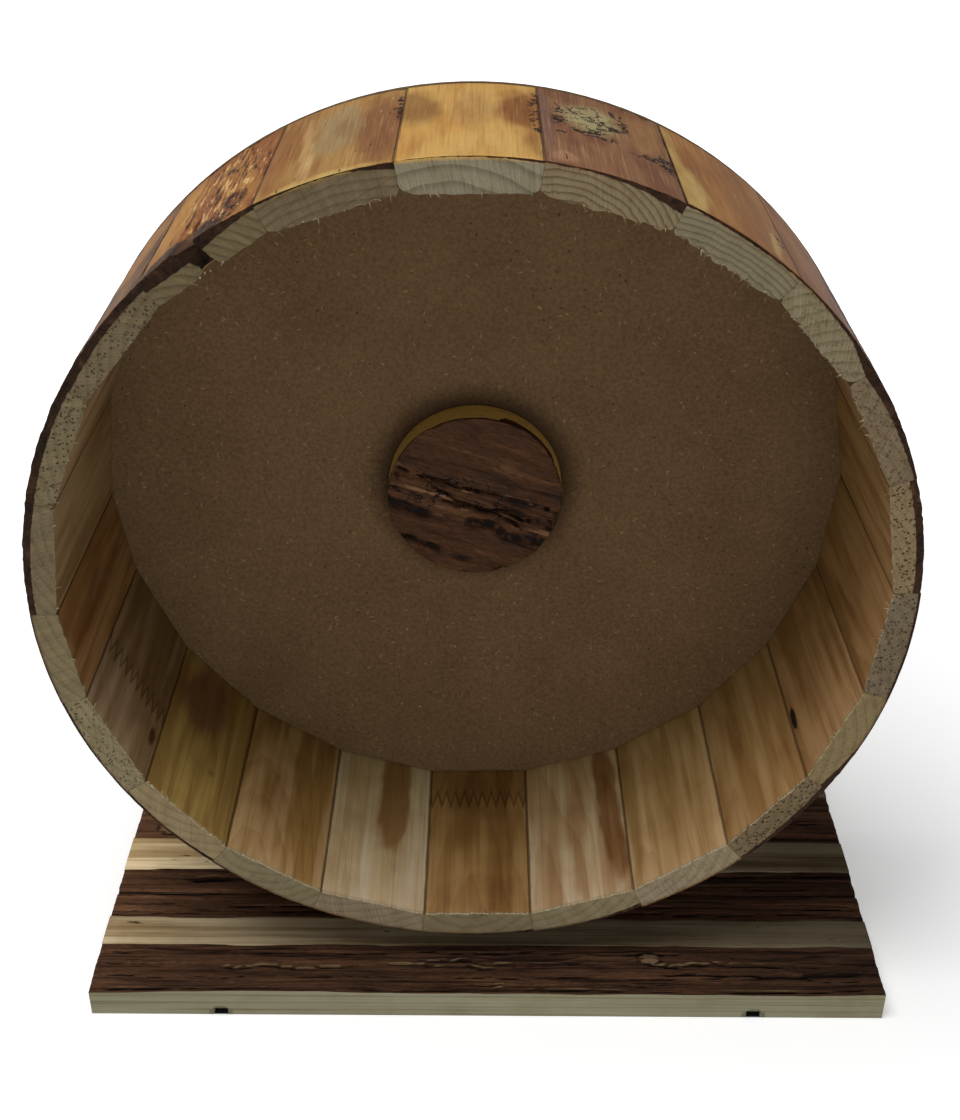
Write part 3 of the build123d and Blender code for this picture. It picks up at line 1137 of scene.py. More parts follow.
@dataclass(frozen=True)
class StaveLook:
    """How one stave differs from its neighbours. Lengths are in millimetres, colours are chart codes."""

    end: str
    outside: tuple[str, str]
    inside: tuple[str, str]
    bark: tuple[float, ...] = (0.0, 0.0)
    pith: tuple[float, float] = (18.0, 46.0)
    ring: float = 3.4
    ring_depth: float = 0.28
    inside_rings: float = 0.3
    tilt: float = 0.05
    saw: tuple[float, float] = (40.0, 0.5)
    hatch: tuple[float, float] = (-10.0, 0.15)
    pores: float = 0.1
    fringe: int = 12
    ragged: float = 0.25
    inner: float = 0.0
    rounded: tuple[float, float] = (0.5, 0.5)
    torn: float = 0.1
    crust: float = 0.62
    finger: float = 0.0
    patches: tuple[Patch, ...] = ()


OUT, IN = Side.OUTSIDE, Side.INSIDE
LOOKS: dict[int, StaveLook] = {
    1: StaveLook(
        "8c846c", ("cb9a4f", "d0a45a"), ("a8946f", "947849"), (0.2, 0.3, 0.5, 0.9), (-6, 44), 4.6, 0.5,
        saw=(28, 0.35), hatch=(-62, 0.1), fringe=14, ragged=0.2, inner=0.5, rounded=(2.6, 1.4), torn=0.0,
        crust=0.0,
        patches=(
            Patch(OUT, 0.0, 0.6, 7.0, 22.0, "b58d54", strength=0.6),
            Patch(OUT, -0.85, 0.68, 8.0, 24.0, "916734", strength=0.85),
            Patch(OUT, 0.78, 0.66, 9.0, 24.0, "8d5a2a"),
            Patch(OUT, 0.95, 0.25, 4.0, 20.0, "986832", strength=0.7),
            Patch(OUT, 0.97, 0.62, 2.6, 26.0, crack=1.0, torn=0.3),
        ),
    ),
    2: StaveLook(
        "89795d", ("8c6242", "7c5036"), ("9f855c", "896739"), (0.5, 0.7, 1.5, 3.6), (-9, 34), 1.9, 0.7,
        saw=(10, 0.2), fringe=26, ragged=0.55, inner=0.3, rounded=(0.6, 1.6), torn=0.12, crust=0.0,
        patches=(
            Patch(OUT, -0.92, 0.5, 2.6, 40.0, "7e5a49"),
            Patch(OUT, 0.6, 0.66, 7.0, 26.0, "9c7044", strength=0.8),
            Patch(OUT, -0.26, 0.66, 9.5, 17.0, "a6986c", crack=0.5, torn=0.35, lean=8),
            Patch(OUT, -0.2, 0.46, 9.0, 4.0, crack=1.0),
            Patch(OUT, 0.2, 0.68, 4.0, 16.0, crack=0.9),
            Patch(OUT, -0.72, 0.6, 2.2, 20.0, crack=1.0),
            Patch(OUT, 0.88, 0.42, 3.0, 12.0, crack=1.0, torn=0.8),
            Patch(OUT, 0.5, 0.4, 7.0, 4.0, crack=0.7),
            Patch(OUT, -0.7, 0.1, 4.0, 6.0, "ae7e5e", torn=0.4, strength=0.7),
        ),
    ),
    3: StaveLook(
        "8a8065", ("a6723b", "986532"), ("9f855c", "896739"), (0.8, 1.0, 1.0, 0.6), (4, 76), 1.7, 0.6,
        saw=(80, 0.2), fringe=90, ragged=0.7, inner=0.3, rounded=(0.6, 1.2), crust=0.0,
        patches=(
            Patch(OUT, -0.86, 0.18, 6.0, 26.0, "c4a361"),
            Patch(OUT, -0.95, 0.6, 2.6, 30.0, "bc9856"),
            Patch(OUT, 0.7, 0.22, 2.4, 18.0, "c7a665", lean=-8),
            Patch(OUT, 0.85, 0.3, 3.0, 14.0, crack=0.8, torn=0.5),
        ),
    ),
    4: StaveLook(
        "8c8064", ("986332", "805127"), ("94784b", "7f6237"), (0.5, 0.8, 1.2, 3.4), (40, 30), 3.2, 0.4,
        pores=0.4, saw=(20, 0.4), fringe=60, ragged=0.5, rounded=(1.4, 3.2),
        patches=(Patch(OUT, 0.6, 0.5, 7.0, 44.0, stain=0.55, crack=0.4),),
    ),
    5: StaveLook(
        "86745a", ("704625", "54341c"), ("8c6f44", "7a5c35"), (3.4, 2.4, 1.8, 1.2), pores=0.6, saw=(35, 0.5),
        ragged=0.4, rounded=(1.2, 0.6), patches=(Patch(OUT, 0.0, 0.5, 22.0, 60.0, stain=0.45, crust=0.3),),
    ),
    6: StaveLook(
        "897658", ("563520", "422918"), ("9b7a49", "836031"), (2.6, 2.6, 2.8), pores=1.0, ring=2.2,
        saw=(5, 0.25), ragged=0.3,
    ),
    7: StaveLook(
        "86765e", ("5e3d23", "482e1c"), ("9d7a49", "836031"), (1.0, 0.8, 1.0), pores=0.9, saw=(50, 0.7),
        hatch=(-40, 0.5), ragged=0.5, fringe=20,
    ),
    8: StaveLook(
        "8a7955", ("755130", "614023"), ("a38151", "896739"), (0.5, 0.5, 3.0), pores=0.3, saw=(15, 0.3),
        patches=(Patch(IN, 0.88, 0.38, 2.0, 8.0, stain=0.8, crack=1.0),),
    ),
    9: StaveLook(
        "806e51", ("6c492c", "563821"), ("a68755", "92703e"), (2.0, 1.8, 1.2), pores=1.0, saw=(25, 0.5),
        ragged=0.4, fringe=16, patches=(Patch(IN, 0.3, 0.6, 4.0, 30.0, stain=0.35),),
    ),
    10: StaveLook(
        "93846a", ("7e5834", "684425"), ("b29462", "9b7c48"), (0.2, 0.2, 0.2), saw=(0, 0.3), pores=0.3,
        patches=(Patch(IN, 0.8, 0.5, 4.0, 50.0, stain=0.3),),
    ),
    11: StaveLook(
        "978869", ("684429", "543720"), ("bda77d", "a38558"), (2.2, 1.0, 0.2, 0.2), saw=(70, 0.45),
        inside_rings=0.35,
        patches=(Patch(IN, -0.72, 0.6, 5.0, 50.0, stain=0.75, lean=-3),),
    ),
    12: StaveLook(
        "87795b", ("755332", "5f4023"), ("9b7b48", "7f5e2e"), (1.4, 0.5, 0.4), (4, 24), 4.2,
        inside_rings=0.35,
        tilt=0.12, saw=(30, 0.4), ragged=0.4, finger=0.78, hatch=(80, 0.3),
        patches=(Patch(IN, 0.0, 0.15, 16.0, 12.0, stain=0.35), Patch(IN, 0.0, 0.8, 16.0, 16.0, stain=0.3)),
    ),
    13: StaveLook(
        "9b8a6e", ("795432", "634225"), ("c2b28b", "b59f72"), (0.3, 0.3), saw=(60, 0.7), inside_rings=0.2,
        patches=(Patch(IN, -0.25, 0.75, 6.5, 46.0, stain=0.8),),
    ),
    14: StaveLook(
        "918465", ("795432", "634225"), ("ae905e", "906f39"), (0.3, 0.3, 0.8), (10, 22), 3.6,
        inside_rings=0.3,
        tilt=0.16, saw=(88, 0.6), patches=(Patch(IN, 0.2, 0.4, 7.0, 34.0, stain=0.4),),
    ),
    15: StaveLook(
        "a5926d", ("634025", "4f321c"), ("a68c48", "896d35"), (1.6, 0.8, 1.2), saw=(45, 0.25), ragged=0.6,
        fringe=26,
        inside_rings=0.3, patches=(
            Patch(IN, 0.2, 0.75, 14.0, 22.0, "785835", stain=0.3),
            Patch(IN, -0.3, 0.35, 3.0, 3.0, stain=0.5),
        ),
    ),
    16: StaveLook(
        "968869", ("684629", "533720"), ("9b8560", "816942"), (0.6, 0.8, 1.0), pores=0.8, saw=(15, 0.4),
        finger=0.42,
        patches=(Patch(IN, -0.8, 0.25, 2.0, 5.0, stain=0.8, crack=0.5),),
    ),
    17: StaveLook(
        "968665", ("684629", "533720"), ("947042", "7c582a"), (0.5, 0.5), saw=(75, 0.35), inside_rings=0.35,
        patches=(Patch(IN, 0.1, 0.5, 6.0, 50.0, stain=0.5),),
    ),
    18: StaveLook(
        "8e7e60", ("462c1c", "352115"), ("947c51", "7c6137"), (2.4, 2.6, 3.0), saw=(55, 0.9), pores=0.3,
    ),
    19: StaveLook(
        "928363", ("543720", "3f2918"), ("947a53", "7c6039"), (3.0, 2.8, 2.8), saw=(55, 0.6), pores=1.0,
        ragged=0.4,
    ),
    20: StaveLook(
        "8e7e60", ("774d27", "543720"), ("947a53", "7c6039"), (3.2, 2.8, 2.6), saw=(50, 0.7), pores=0.9,
        crust=0.25,
        patches=(Patch(OUT, 0.3, 0.7, 11.0, 26.0, "a37035", strength=0.9),),
    ),
    21: StaveLook(
        "8c7b5a", ("a36e34", "8d5327"), ("9b8155", "816339"), (3.6, 4.6, 4.8, 3.4, 2.4, 1.2), (-24, 30),
        2.6, 0.5,
        saw=(58, 0.7), hatch=(-30, 0.3), torn=0.5, fringe=10, crust=0.0, patches=(
            Patch(OUT, -0.25, 0.04, 14.0, 9.0, "3e2617", stain=0.5, crust=0.7, crack=0.8),
            Patch(OUT, 0.2, 0.5, 16.0, 44.0, torn=0.5, stain=0.15),
            Patch(OUT, -0.7, 0.6, 7.0, 36.0, "b8843e"),
            Patch(OUT, 0.55, 0.16, 6.0, 14.0, crack=0.5, stain=0.3),
        ),
    ),
    22: StaveLook(
        "8e7c5e", ("aa8046", "986835"), ("9b8155", "816339"), (0.9, 0.5, 0.4, 2.2), (0, 70), 2.4, 0.4,
        saw=(84, 0.5), hatch=(-8, 0.5), fringe=70, ragged=0.5, inner=0.3, rounded=(1.2, 0.6), torn=0.3,
        crust=0.0,
        patches=(
            Patch(OUT, 0.72, 0.5, 8.0, 36.0, "8a5c36", torn=0.1),
            Patch(OUT, 0.05, 0.6, 8.0, 30.0, "9c845c", strength=0.8),
            Patch(OUT, -0.35, 0.35, 2.0, 40.0, "c29d65", lean=4),
            Patch(OUT, -0.8, 0.6, 5.0, 30.0, "946232", strength=0.7),
            Patch(OUT, 0.97, 0.75, 2.2, 16.0, crack=1.0),
            Patch(OUT, -0.1, 0.02, 18.0, 2.5, "c4a35e", torn=0.4),
        ),
    ),
}


@dataclass
class StaveHoop:
    """The wheel's hoop: flat-faced staves glued edge to edge round the disc.

    skin says how near to a surface a vertex counts as on it. The old split's place, in one stave's
    front, is a share of half a stave from its middle, and its lean moves it over the stave's thickness.
    """

    outer_radius: float = 140 * MM
    inner_corner_radius: float = 131.5 * MM
    steps_across: int = 32
    cuts_deep: int = 47
    cuts_thick: int = 6
    broken_edge: float = 0.2 * MM
    skin: float = 0.6 * MM
    split_stave: int = 21
    split_place: float = -0.08
    split_lean: float = 0.10
    split_depth: float = 7.0 * MM
    fibre_seed: int = 7
    fibre_root: float = 0.13 * MM
    fibre_tip: float = 0.02 * MM
    fibre_length: float = 1.0 * MM
    fibre_flatness: float = 0.45
    fibre_droop: float = 160.0
    centre: Vector = field(init=False)
    front: float = field(init=False)
    length: float = field(init=False)

    def __post_init__(self) -> None:
        """Reads the hoop's place from the construction model."""
        low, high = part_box("back_disc")
        self.centre = Vector(((low.x + high.x) / 2, 0.0, (low.z + high.z) / 2))
        low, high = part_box("stave_01")
        self.front, self.length = low.y, high.y - low.y

    @property
    def thick(self) -> float:
        """Gives a stave's thickness at its joints."""
        return self.outer_radius - self.inner_corner_radius

    def joints(self, number: int) -> tuple[float, float]:
        """Finds a stave's two glue joints from its construction solid.

        Args:
            number: The stave's number.

        Returns:
            The angles of its right and left joint, in radians from the right, anticlockwise.
        """
        rows = Bench.points(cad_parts[f"stave_{number:02d}"]) - np.array(self.centre)
        middle = math.atan2(rows[:, 2].mean(), rows[:, 0].mean())
        swing = np.arctan2(rows[:, 2], rows[:, 0]) - middle
        swing = (swing + math.pi) % (2 * math.pi) - math.pi
        return middle + swing.min(), middle + swing.max()

    def blank(self, number: int, half: float) -> Piece:
        """Models one stave on top of the wheel, with the axle's line through the origin.

        Args:
            number: The stave's number.
            half: Half of the angle that it spans, in radians.

        Returns:
            The plain stave.
        """
        Bench.clear()
        bpy.ops.mesh.primitive_plane_add(size=1.0, rotation=(0.0, math.pi / 2, 0.0))
        stave = bpy.context.object
        stave.name = f"stave_wood_{number:02d}"
        stave.scale = (self.thick, self.length, 1.0)
        stave.location = (0.0, self.length / 2, self.inner_corner_radius + self.thick / 2)
        Bench.settle(stave)
        Bench.cut_along(stave, 1, self.cuts_deep)
        steps = self.steps_across * (2 if number == self.split_stave else 1)
        Bench.pick(stave, "polygons", np.ones(len(stave.data.polygons)))
        bpy.ops.mesh.spin(steps=steps, angle=2 * half, center=(0, 0, 0), axis=(0, 1, 0))
        Bench.lay_down()
        rows = Bench.points(stave)
        swing = np.arctan2(rows[:, 0], rows[:, 2])
        stave.rotation_euler = (0.0, -(swing.min() + swing.max()) / 2, 0.0)
        Bench.settle(stave)
        chord = self.inner_corner_radius * math.cos(half)
        Bench.pick(stave, "vertices", self.near_axle(stave))
        bpy.ops.transform.resize(value=(1, 1, 0), center_override=(0, 0, chord))
        Bench.lay_down()
        inner, ends = self.near_axle(stave), Bench.read(stave.data.edges, "vertices", 2, int)
        Bench.pick(stave, "edges", inner[ends[:, 0]] != inner[ends[:, 1]])
        bpy.ops.mesh.subdivide(number_cuts=self.cuts_thick)
        Bench.lay_down()
        Bench.outward(stave)
        Bench.ease_edges(stave, self.broken_edge)
        return stave

    def near_axle(self, stave: Piece) -> np.ndarray:
        """Tells which vertices lie on the inner face."""
        rows = Bench.points(stave)
        return np.hypot(rows[:, 0], rows[:, 2]) < self.inner_corner_radius + 0.1 * MM

    def sides(self, stave: Piece, half: float) -> tuple[np.ndarray, np.ndarray]:
        """Tells which side each face and vertex belongs to.

        Args:
            stave: A stave on top of the wheel.
            half: Half of the angle that it spans, in radians.

        Returns:
            The Side value of each face, and of each vertex.
        """
        faces = stave.data.polygons
        normal, middle = Bench.read(faces, "normal"), Bench.read(faces, "center")
        swing = np.arctan2(middle[:, 0], middle[:, 2])
        rise = normal[:, 0] * np.sin(swing) + normal[:, 2] * np.cos(swing)
        level = np.abs(normal[:, 1]) < 0.6
        face = np.full(len(normal), Side.END.value)
        face[(rise > 0.8) & level] = Side.OUTSIDE.value
        face[(normal[:, 2] < -0.8) & level] = Side.INSIDE.value
        rows = Bench.points(stave)
        point = np.full(len(rows), Side.END.value)
        point[np.hypot(rows[:, 0], rows[:, 2]) > self.outer_radius - self.skin] = Side.OUTSIDE.value
        point[rows[:, 2] < self.inner_corner_radius * math.cos(half) + self.skin] = Side.INSIDE.value
        return face, point

    def split(self, share: np.ndarray, below: np.ndarray) -> np.ndarray:
        """Measures how far points are from the middle of the old split, as a share of half a stave."""
        return np.abs(share - self.split_place - self.split_lean * (below / self.thick - 0.5))

    def paint_stave(self, stave: Piece, number: int, half: float) -> None:
        """Paints a stave's colours, patches, rings and saw directions on its vertices, with painted light and
        shade on the inside faces.

        Args:
            stave: A stave on top of the wheel.
            number: The stave's number.
            half: Half of the angle that it spans, in radians.
        """
        look, point, rows = LOOKS[number], self.sides(stave, half)[1], Bench.points(stave)
        radius, swing = np.hypot(rows[:, 0], rows[:, 2]), np.arctan2(rows[:, 0], rows[:, 2])
        across, below = self.outer_radius * swing, self.outer_radius - radius
        share, deep = swing / half, rows[:, 1] / self.length
        flat = rows - np.array((look.pith[0] * MM, 0.0, self.outer_radius - look.pith[1] * MM))
        grain = (flat + np.outer(rows[:, 1], (0.0, 0.0, look.tilt))) / (look.ring * MM)
        grain[:, 1] += number * 13.7
        thick = np.interp(share, np.linspace(-1, 1, len(look.bark)), look.bark) * MM
        tone = np.array(paint(look.end))[None, :].repeat(len(rows), axis=0)
        outside = point == Side.OUTSIDE.value
        inside = (point == Side.INSIDE.value) & (rows[:, 1] > self.skin)
        for chosen, pair, scale in (
            (outside, look.outside, (75.0, 22.0, 75.0)),
            (inside, look.inside, (130.0, 9.0, 60.0)),
        ):
            mixed = soft_step(-0.30, 0.38, turbulence(rows, scale, number + 0.4))[:, None]
            tone[chosen] = (np.array(paint(pair[0])) * (1 - mixed) + np.array(paint(pair[1])) * mixed)[chosen]
        # Painted light and shade: the inside faces are lightened at the front and darkened towards the disc,
        # and their blue falls off faster.
        tone[inside, :3] *= (1.24 - 0.46 * deep[inside])[:, None]
        tone[inside, 2] *= 1.22 - 0.30 * deep[inside]
        marks = np.zeros((len(rows), 4))
        marks[outside, 3] = look.torn
        marks[outside, 2] = soft_step(0.6, 2.6, thick[outside] / MM) * look.crust
        warp = turbulence(rows, (90.0, 40.0, 90.0), number) * 0.28
        for patch in look.patches:
            over = (share - patch.across) * half * self.outer_radius / MM
            down = (deep - patch.depth) * self.length / MM
            lean = math.radians(patch.lean)
            first = (over * math.cos(lean) + down * math.sin(lean)) / patch.wide
            second = (down * math.cos(lean) - over * math.sin(lean)) / patch.long
            amount = soft_step(1.25, 0.6, np.hypot(first, second) + warp)
            amount[point != patch.side.value] = 0.0
            if patch.colour:
                part = (amount * patch.strength)[:, None]
                tone = tone * (1 - part) + np.array(paint(patch.colour)) * part
            marks += np.outer(amount, (patch.stain, patch.crack, patch.crust, patch.torn))
        if number == self.split_stave:
            marks[:, 2] += soft_step(0.20, 0.08, self.split(share, below)) * soft_step(0.32, 0.12, deep)
        cuts = {}
        for name, (angle, depth) in {"saw": look.saw, "hatch": look.hatch}.items():
            way = (math.cos(math.radians(angle)), math.sin(math.radians(angle)), depth)
            cuts[name] = np.array(way)[None, :].repeat(len(rows), axis=0)
        ring_depth = np.where(inside, look.inside_rings, look.ring_depth)
        Bench.write(
            stave,
            place=np.stack([across + number * 0.31, rows[:, 1], below], axis=1),
            grain=grain,
            tone=tone,
            marks=np.clip(marks, 0.0, 1.0),
            rings=np.stack([ring_depth, np.full(len(rows), look.pores), thick], axis=1),
            edge=np.maximum((half - np.abs(swing)) * radius, 0.0),
            finger=np.full(len(rows), look.finger * self.length),
            **cuts,
        )

    def wear_stave(self, stave: Piece, number: int, half: float) -> None:
        """Moves a stave's vertices: ragged inner edge, rounded corners, rough bark, a wavy end and the split.

        Args:
            stave: A stave on top of the wheel.
            number: The stave's number.
            half: Half of the angle that it spans, in radians.
        """
        look, rows = LOOKS[number], Bench.points(stave)
        radius, swing = np.hypot(rows[:, 0], rows[:, 2]), np.arctan2(rows[:, 0], rows[:, 2])
        share, deep, below = swing / half, rows[:, 1], self.outer_radius - radius
        chord = self.inner_corner_radius * math.cos(half)
        near_inner = soft_step(3.0, 0.0, (rows[:, 2] - chord) / MM)
        near_front = soft_step(3.5, 0.0, deep / MM)
        within = soft_step(1.0, 0.9, np.abs(share))
        shag = turbulence(rows, (420.0, 60.0, 420.0), number + 0.5)
        rows[:, 2] -= near_inner * near_front * within * (look.inner + look.ragged * shag * 1.4) * MM
        for side, size in zip((-1.0, 1.0), look.rounded):
            reach = size * soft_step(5.0, 0.6, deep / MM) * MM + 1e-6
            from_joint, from_inner = (1.0 - side * share) * half * radius, rows[:, 2] - chord
            away = np.hypot(reach - from_joint, reach - from_inner)
            cut = (from_joint < reach) & (from_inner < reach) & (away > reach)
            pull = np.where(cut, 1.0 - reach / np.maximum(away, 1e-9), 0.0)
            rows[:, 2] += (reach - from_inner) * pull
            rows[:, 0] -= side * (reach - from_joint) * pull
        thick = np.interp(share, np.linspace(-1, 1, len(look.bark)), look.bark)
        rough = turbulence(rows, (420.0, 70.0, 420.0), number + 0.2)
        sink = soft_step(0.5, 2.4, thick) * soft_step(2.0, 0.0, below / MM) * (0.4 + 0.6 * rough) * 0.42
        wave = turbulence(rows, (120.0, 30.0, 120.0), number + 0.9)
        rows[:, 1] += soft_step(6.0, 0.0, deep / MM) * (0.12 + 0.14 * wave) * MM
        if number == self.split_stave:
            gap = self.split(share, below) + 0.03 * wave
            rows[:, 1] += soft_step(0.17, 0.05, gap) * soft_step(14.0, 0.0, deep / MM) * self.split_depth
            groove = soft_step(0.22, 0.03, gap) * soft_step(40.0, 4.0, deep / MM)
            sink = sink + groove * soft_step(5.0, 0.0, below / MM) * 2.6
            notch = soft_step(0.26, 0.04, gap) * soft_step(12.0, 1.0, deep / MM)
            rows[:, 2] += notch * near_inner * 1.8 * MM
        pull = np.clip(sink, 0.0, None) * MM / radius
        rows[:, 0] -= rows[:, 0] * pull
        rows[:, 2] -= rows[:, 2] * pull
        Bench.place_points(stave, rows)

    def hang(self, piece: Piece, right: float, left: float) -> None:
        """Turns a piece from the top of the wheel to its own place.

        Args:
            piece: The piece, with the axle's line through the origin and its front at y 0.
            right: The angle of the stave's right joint, in radians.
            left: The angle of its left joint.
        """
        piece.rotation_euler = (0.0, math.pi / 2 - (right + left) / 2, 0.0)
        piece.location = (self.centre.x, self.front, self.centre.z)
        Bench.settle(piece)

    def splinter(self) -> Piece:
        """Models one torn fibre: a thin flat sliver, one millimetre long, that droops from the origin.

        Returns:
            The fibre.
        """
        Bench.clear()
        bpy.ops.mesh.primitive_cone_add(
            vertices=4,
            radius1=self.fibre_root,
            radius2=self.fibre_tip,
            depth=self.fibre_length,
            rotation=(math.pi, 0, 0),
        )
        fibre = bpy.context.object
        fibre.location = (0.0, 0.0, -self.fibre_length / 2)
        fibre.scale = (1.0, self.fibre_flatness, 1.0)
        Bench.settle(fibre)
        Bench.cut_along(fibre, 2, 2)
        rows = Bench.points(fibre)
        rows[:, 1] += self.fibre_droop * rows[:, 2] ** 2
        Bench.place_points(fibre, rows)
        return fibre

    def fringe(self, number: int, half: float, fibre: Piece, chance: np.random.Generator) -> Piece:
        """Sets torn fibres along a stave's inner front edge.

        Args:
            number: The stave's number.
            half: Half of the angle that it spans, in radians.
            fibre: The fibre that is copied.
            chance: The source of the fibres' differences.

        Returns:
            The stave's fringe, as one piece.
        """
        look = LOOKS[number]
        root = self.inner_corner_radius * math.cos(half) + (0.25 - 0.6 * look.inner) * MM
        wide = self.inner_corner_radius * math.sin(half) - max(look.rounded) * MM * 0.8
        Bench.clear()
        for _ in range(look.fringe):
            strand = bpy.data.objects.new("fibre", fibre.data.copy())
            bpy.context.collection.objects.link(strand)
            long = chance.uniform(0.35, 0.9) + (chance.random() ** 7) * 2.6
            girth = chance.uniform(1.0, 2.4) / math.sqrt(long)
            strand.data.transform(
                Matrix.Translation((chance.uniform(-wide, wide), chance.uniform(0.1, 1.2) * MM, root))
                @ Matrix.Rotation(chance.normal(0.0, 0.85), 4, "Y")
                @ Matrix.Rotation(chance.uniform(-0.3, 0.75), 4, "X")
                @ Matrix.Rotation(chance.uniform(-0.6, 0.6), 4, "Z")
                @ Matrix.Diagonal((girth, girth, long, 1.0))
            )
            strand.select_set(True)
            bpy.context.view_layer.objects.active = strand
        bpy.ops.object.join()
        made = bpy.context.object
        made.name = f"torn_fibres_{number:02d}"
        return made

    def build(self, effects: WoodEffects, finish: StaveFinish) -> None:
        """Builds all staves and their fringes and hangs them on the wheel.

        Args:
            effects: The shared effects.
            finish: The staves' finish.
        """
        materials = [finish.end(effects), finish.outside(effects), finish.inside(effects)]
        torn, fibre = finish.torn_fibre(), self.splinter()
        chance = np.random.default_rng(self.fibre_seed)
        for number in LOOKS:
            right, left = self.joints(number)
            half = (left - right) / 2
            stave = self.blank(number, half)
            Bench.dress(stave, materials, self.sides(stave, half)[0])
            self.paint_stave(stave, number, half)
            self.wear_stave(stave, number, half)
            self.hang(stave, right, left)
            Bench.smooth(stave)
            Bench.mount(stave, "wheel", "stave_wood", f"stave_{number:02d}")
            tuft = self.fringe(number, half, fibre, chance)
            Bench.dress(tuft, [torn])
            self.hang(tuft, right, left)
            Bench.mount(tuft, "wheel", "stave_wood")
        bpy.data.objects.remove(fibre)


@dataclass
class HubCap:
    """The round slice of barked wood over the axle.

    Angles are in degrees. Between chunk_start and chunk_end, from the right anticlockwise, the bark
    is as thick as chunk_depth. A fissure is given by its place as a share of the radius and its
    width in millimetres, and deepest is in millimetres too.
    """

    sides: int = 144
    rings: int = 34
    cuts_deep: int = 15
    broken_edge: float = 0.3 * MM
    smooth_angle: float = 50.0
    ridge_lean: float = -18.0
    bark_depth: float = 1.3 * MM
    chunk_depth: float = 5.0 * MM
    chunk_start: float = 22.0
    chunk_end: float = 76.0
    front_layer: float = 2.5 * MM
    deepest: float = 3.4
    fissure_wander: float = 3.2 * MM
    fissures: tuple[tuple[float, float], ...] = (
        (-0.34, 2.8),
        (-0.80, 1.7),
        (0.10, 0.5),
        (-0.14, 0.7),
        (-0.04, 0.5),
    )

    def build(self, effects: WoodEffects, finish: HubFinish) -> None:
        """Builds the cap from a cylinder whose front is inset ring by ring.

        Args:
            effects: The shared effects.
            finish: The cap's finish.
        """
        low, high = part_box("hub_cap")
        radius, deep = (high.x - low.x) / 2, high.y - low.y
        Bench.clear()
        bpy.ops.mesh.primitive_cylinder_add(
            vertices=self.sides, radius=radius, depth=deep, rotation=(math.pi / 2, 0, 0)
        )
        cap = bpy.context.object
        cap.name = "hub_cap_slice"
        Bench.settle(cap)
        Bench.cut_along(cap, 1, self.cuts_deep)
        Bench.pick(cap, "polygons", Bench.read(cap.data.polygons, "normal")[:, 1] < -0.9)
        for _ in range(self.rings):
            bpy.ops.mesh.inset(thickness=radius / (self.rings + 1))
        Bench.lay_down()
        Bench.ease_edges(cap, self.broken_edge)
        self.wear(cap, radius, deep)
        cap.location = (low + high) / 2
        Bench.settle(cap)
        Bench.dress(cap, [finish.material(effects)])
        Bench.smooth(cap, self.smooth_angle)
        Bench.mount(cap, "wheel", "bark_wood", "hub_cap")

    def wear(self, cap: Piece, radius: float, deep: float) -> None:
        """Moves the front's vertices into ridges and fissures and chips the bark's edge.

        Args:
            cap: The cap, with its middle at the origin.
            radius: The cap's radius.
            deep: The cap's thickness.
        """
        rows = Bench.points(cap)
        spread = np.hypot(rows[:, 0], rows[:, 2])
        lean = math.radians(self.ridge_lean)
        over = rows[:, 2] * math.cos(lean) - rows[:, 0] * math.sin(lean)
        along = rows[:, 0] * math.cos(lean) + rows[:, 2] * math.sin(lean)
        front = soft_step(-deep / 2 + self.front_layer, -deep / 2, rows[:, 1])
        laid = np.stack([over, along, np.zeros(len(rows))], axis=1)
        ridge = turbulence(laid, (300.0, 26.0, 1.0), 3.0)
        lump = turbulence(laid, (60.0, 22.0, 1.0), 5.0)
        sink = 1.1 - 0.8 * ridge - 0.7 * lump
        dark = np.zeros(len(rows))
        lengthwise = laid * np.array((0, 1, 0))
        for place, width in self.fissures:
            line = place * radius + self.fissure_wander * turbulence(lengthwise, (1.0, 40.0, 1.0), place)
            kept = soft_step(-0.55, -0.05, turbulence(lengthwise, (1.0, 55.0, 1.0), place + 4.0))
            near = soft_step(1.0, 0.25, np.abs(over - line) / (width * MM)) * kept
            sink += near * 1.8
            dark = np.maximum(dark, near)
        rows[:, 1] += front * np.clip(sink, 0.0, self.deepest) * MM
        chip = turbulence(rows, (130.0, 60.0, 130.0), 8.0)
        turn = np.degrees(np.arctan2(rows[:, 2], rows[:, 0]))
        chunk = soft_step(self.chunk_start, self.chunk_start + 8.0, turn)
        chunk *= soft_step(self.chunk_end, self.chunk_end - 6.0, turn)
        depth = self.bark_depth + (self.chunk_depth - self.bark_depth) * chunk
        layer = soft_step(0.6 * MM, -0.6 * MM, rows[:, 1] + deep / 2 - depth + chip * 0.5 * MM)
        edge = soft_step(0.8, 0.98, spread / radius)
        bite = np.clip(0.5 + 0.6 * chip, 0.0, 1.6) * layer * (1.0 - 0.8 * chunk) * edge
        rows[:, [0, 2]] *= (1.0 - bite * MM / np.maximum(spread, 1 * MM))[:, None]
        Bench.place_points(cap, rows)
        bundle = soft_step(-0.42, -0.20, over / radius) * soft_step(0.34, 0.08, over / radius)
        marks = np.stack([np.maximum(layer, front), dark * front, bundle, np.ones(len(rows))], axis=1)
        Bench.write(cap, place=np.stack([over, along, rows[:, 1]], axis=1), marks=marks)


@dataclass(frozen=True)
class Fissure:
    """A crack along a slab's bark, from one x to another at a y. Lengths are in millimetres."""

    start: float
    end: float
    place: float
    wander: float = 1.5
    width: float = 0.8
    depth: float = 1.4
    lip: float = 0.3


@dataclass(frozen=True)
class SlabLook:
    """How one slab differs from the others. Lengths are in millimetres.

    strip runs from the planed strip's front to its back. A knot is given by x, y and its radius.
    The tones multiply the strip's and the bark's colours.
    """

    strip: tuple[float, float]
    fissures: tuple[Fissure, ...]
    knots: tuple[tuple[float, float, float], ...] = ()
    strip_tone: float = 0.7
    bark_tone: float = 1.0


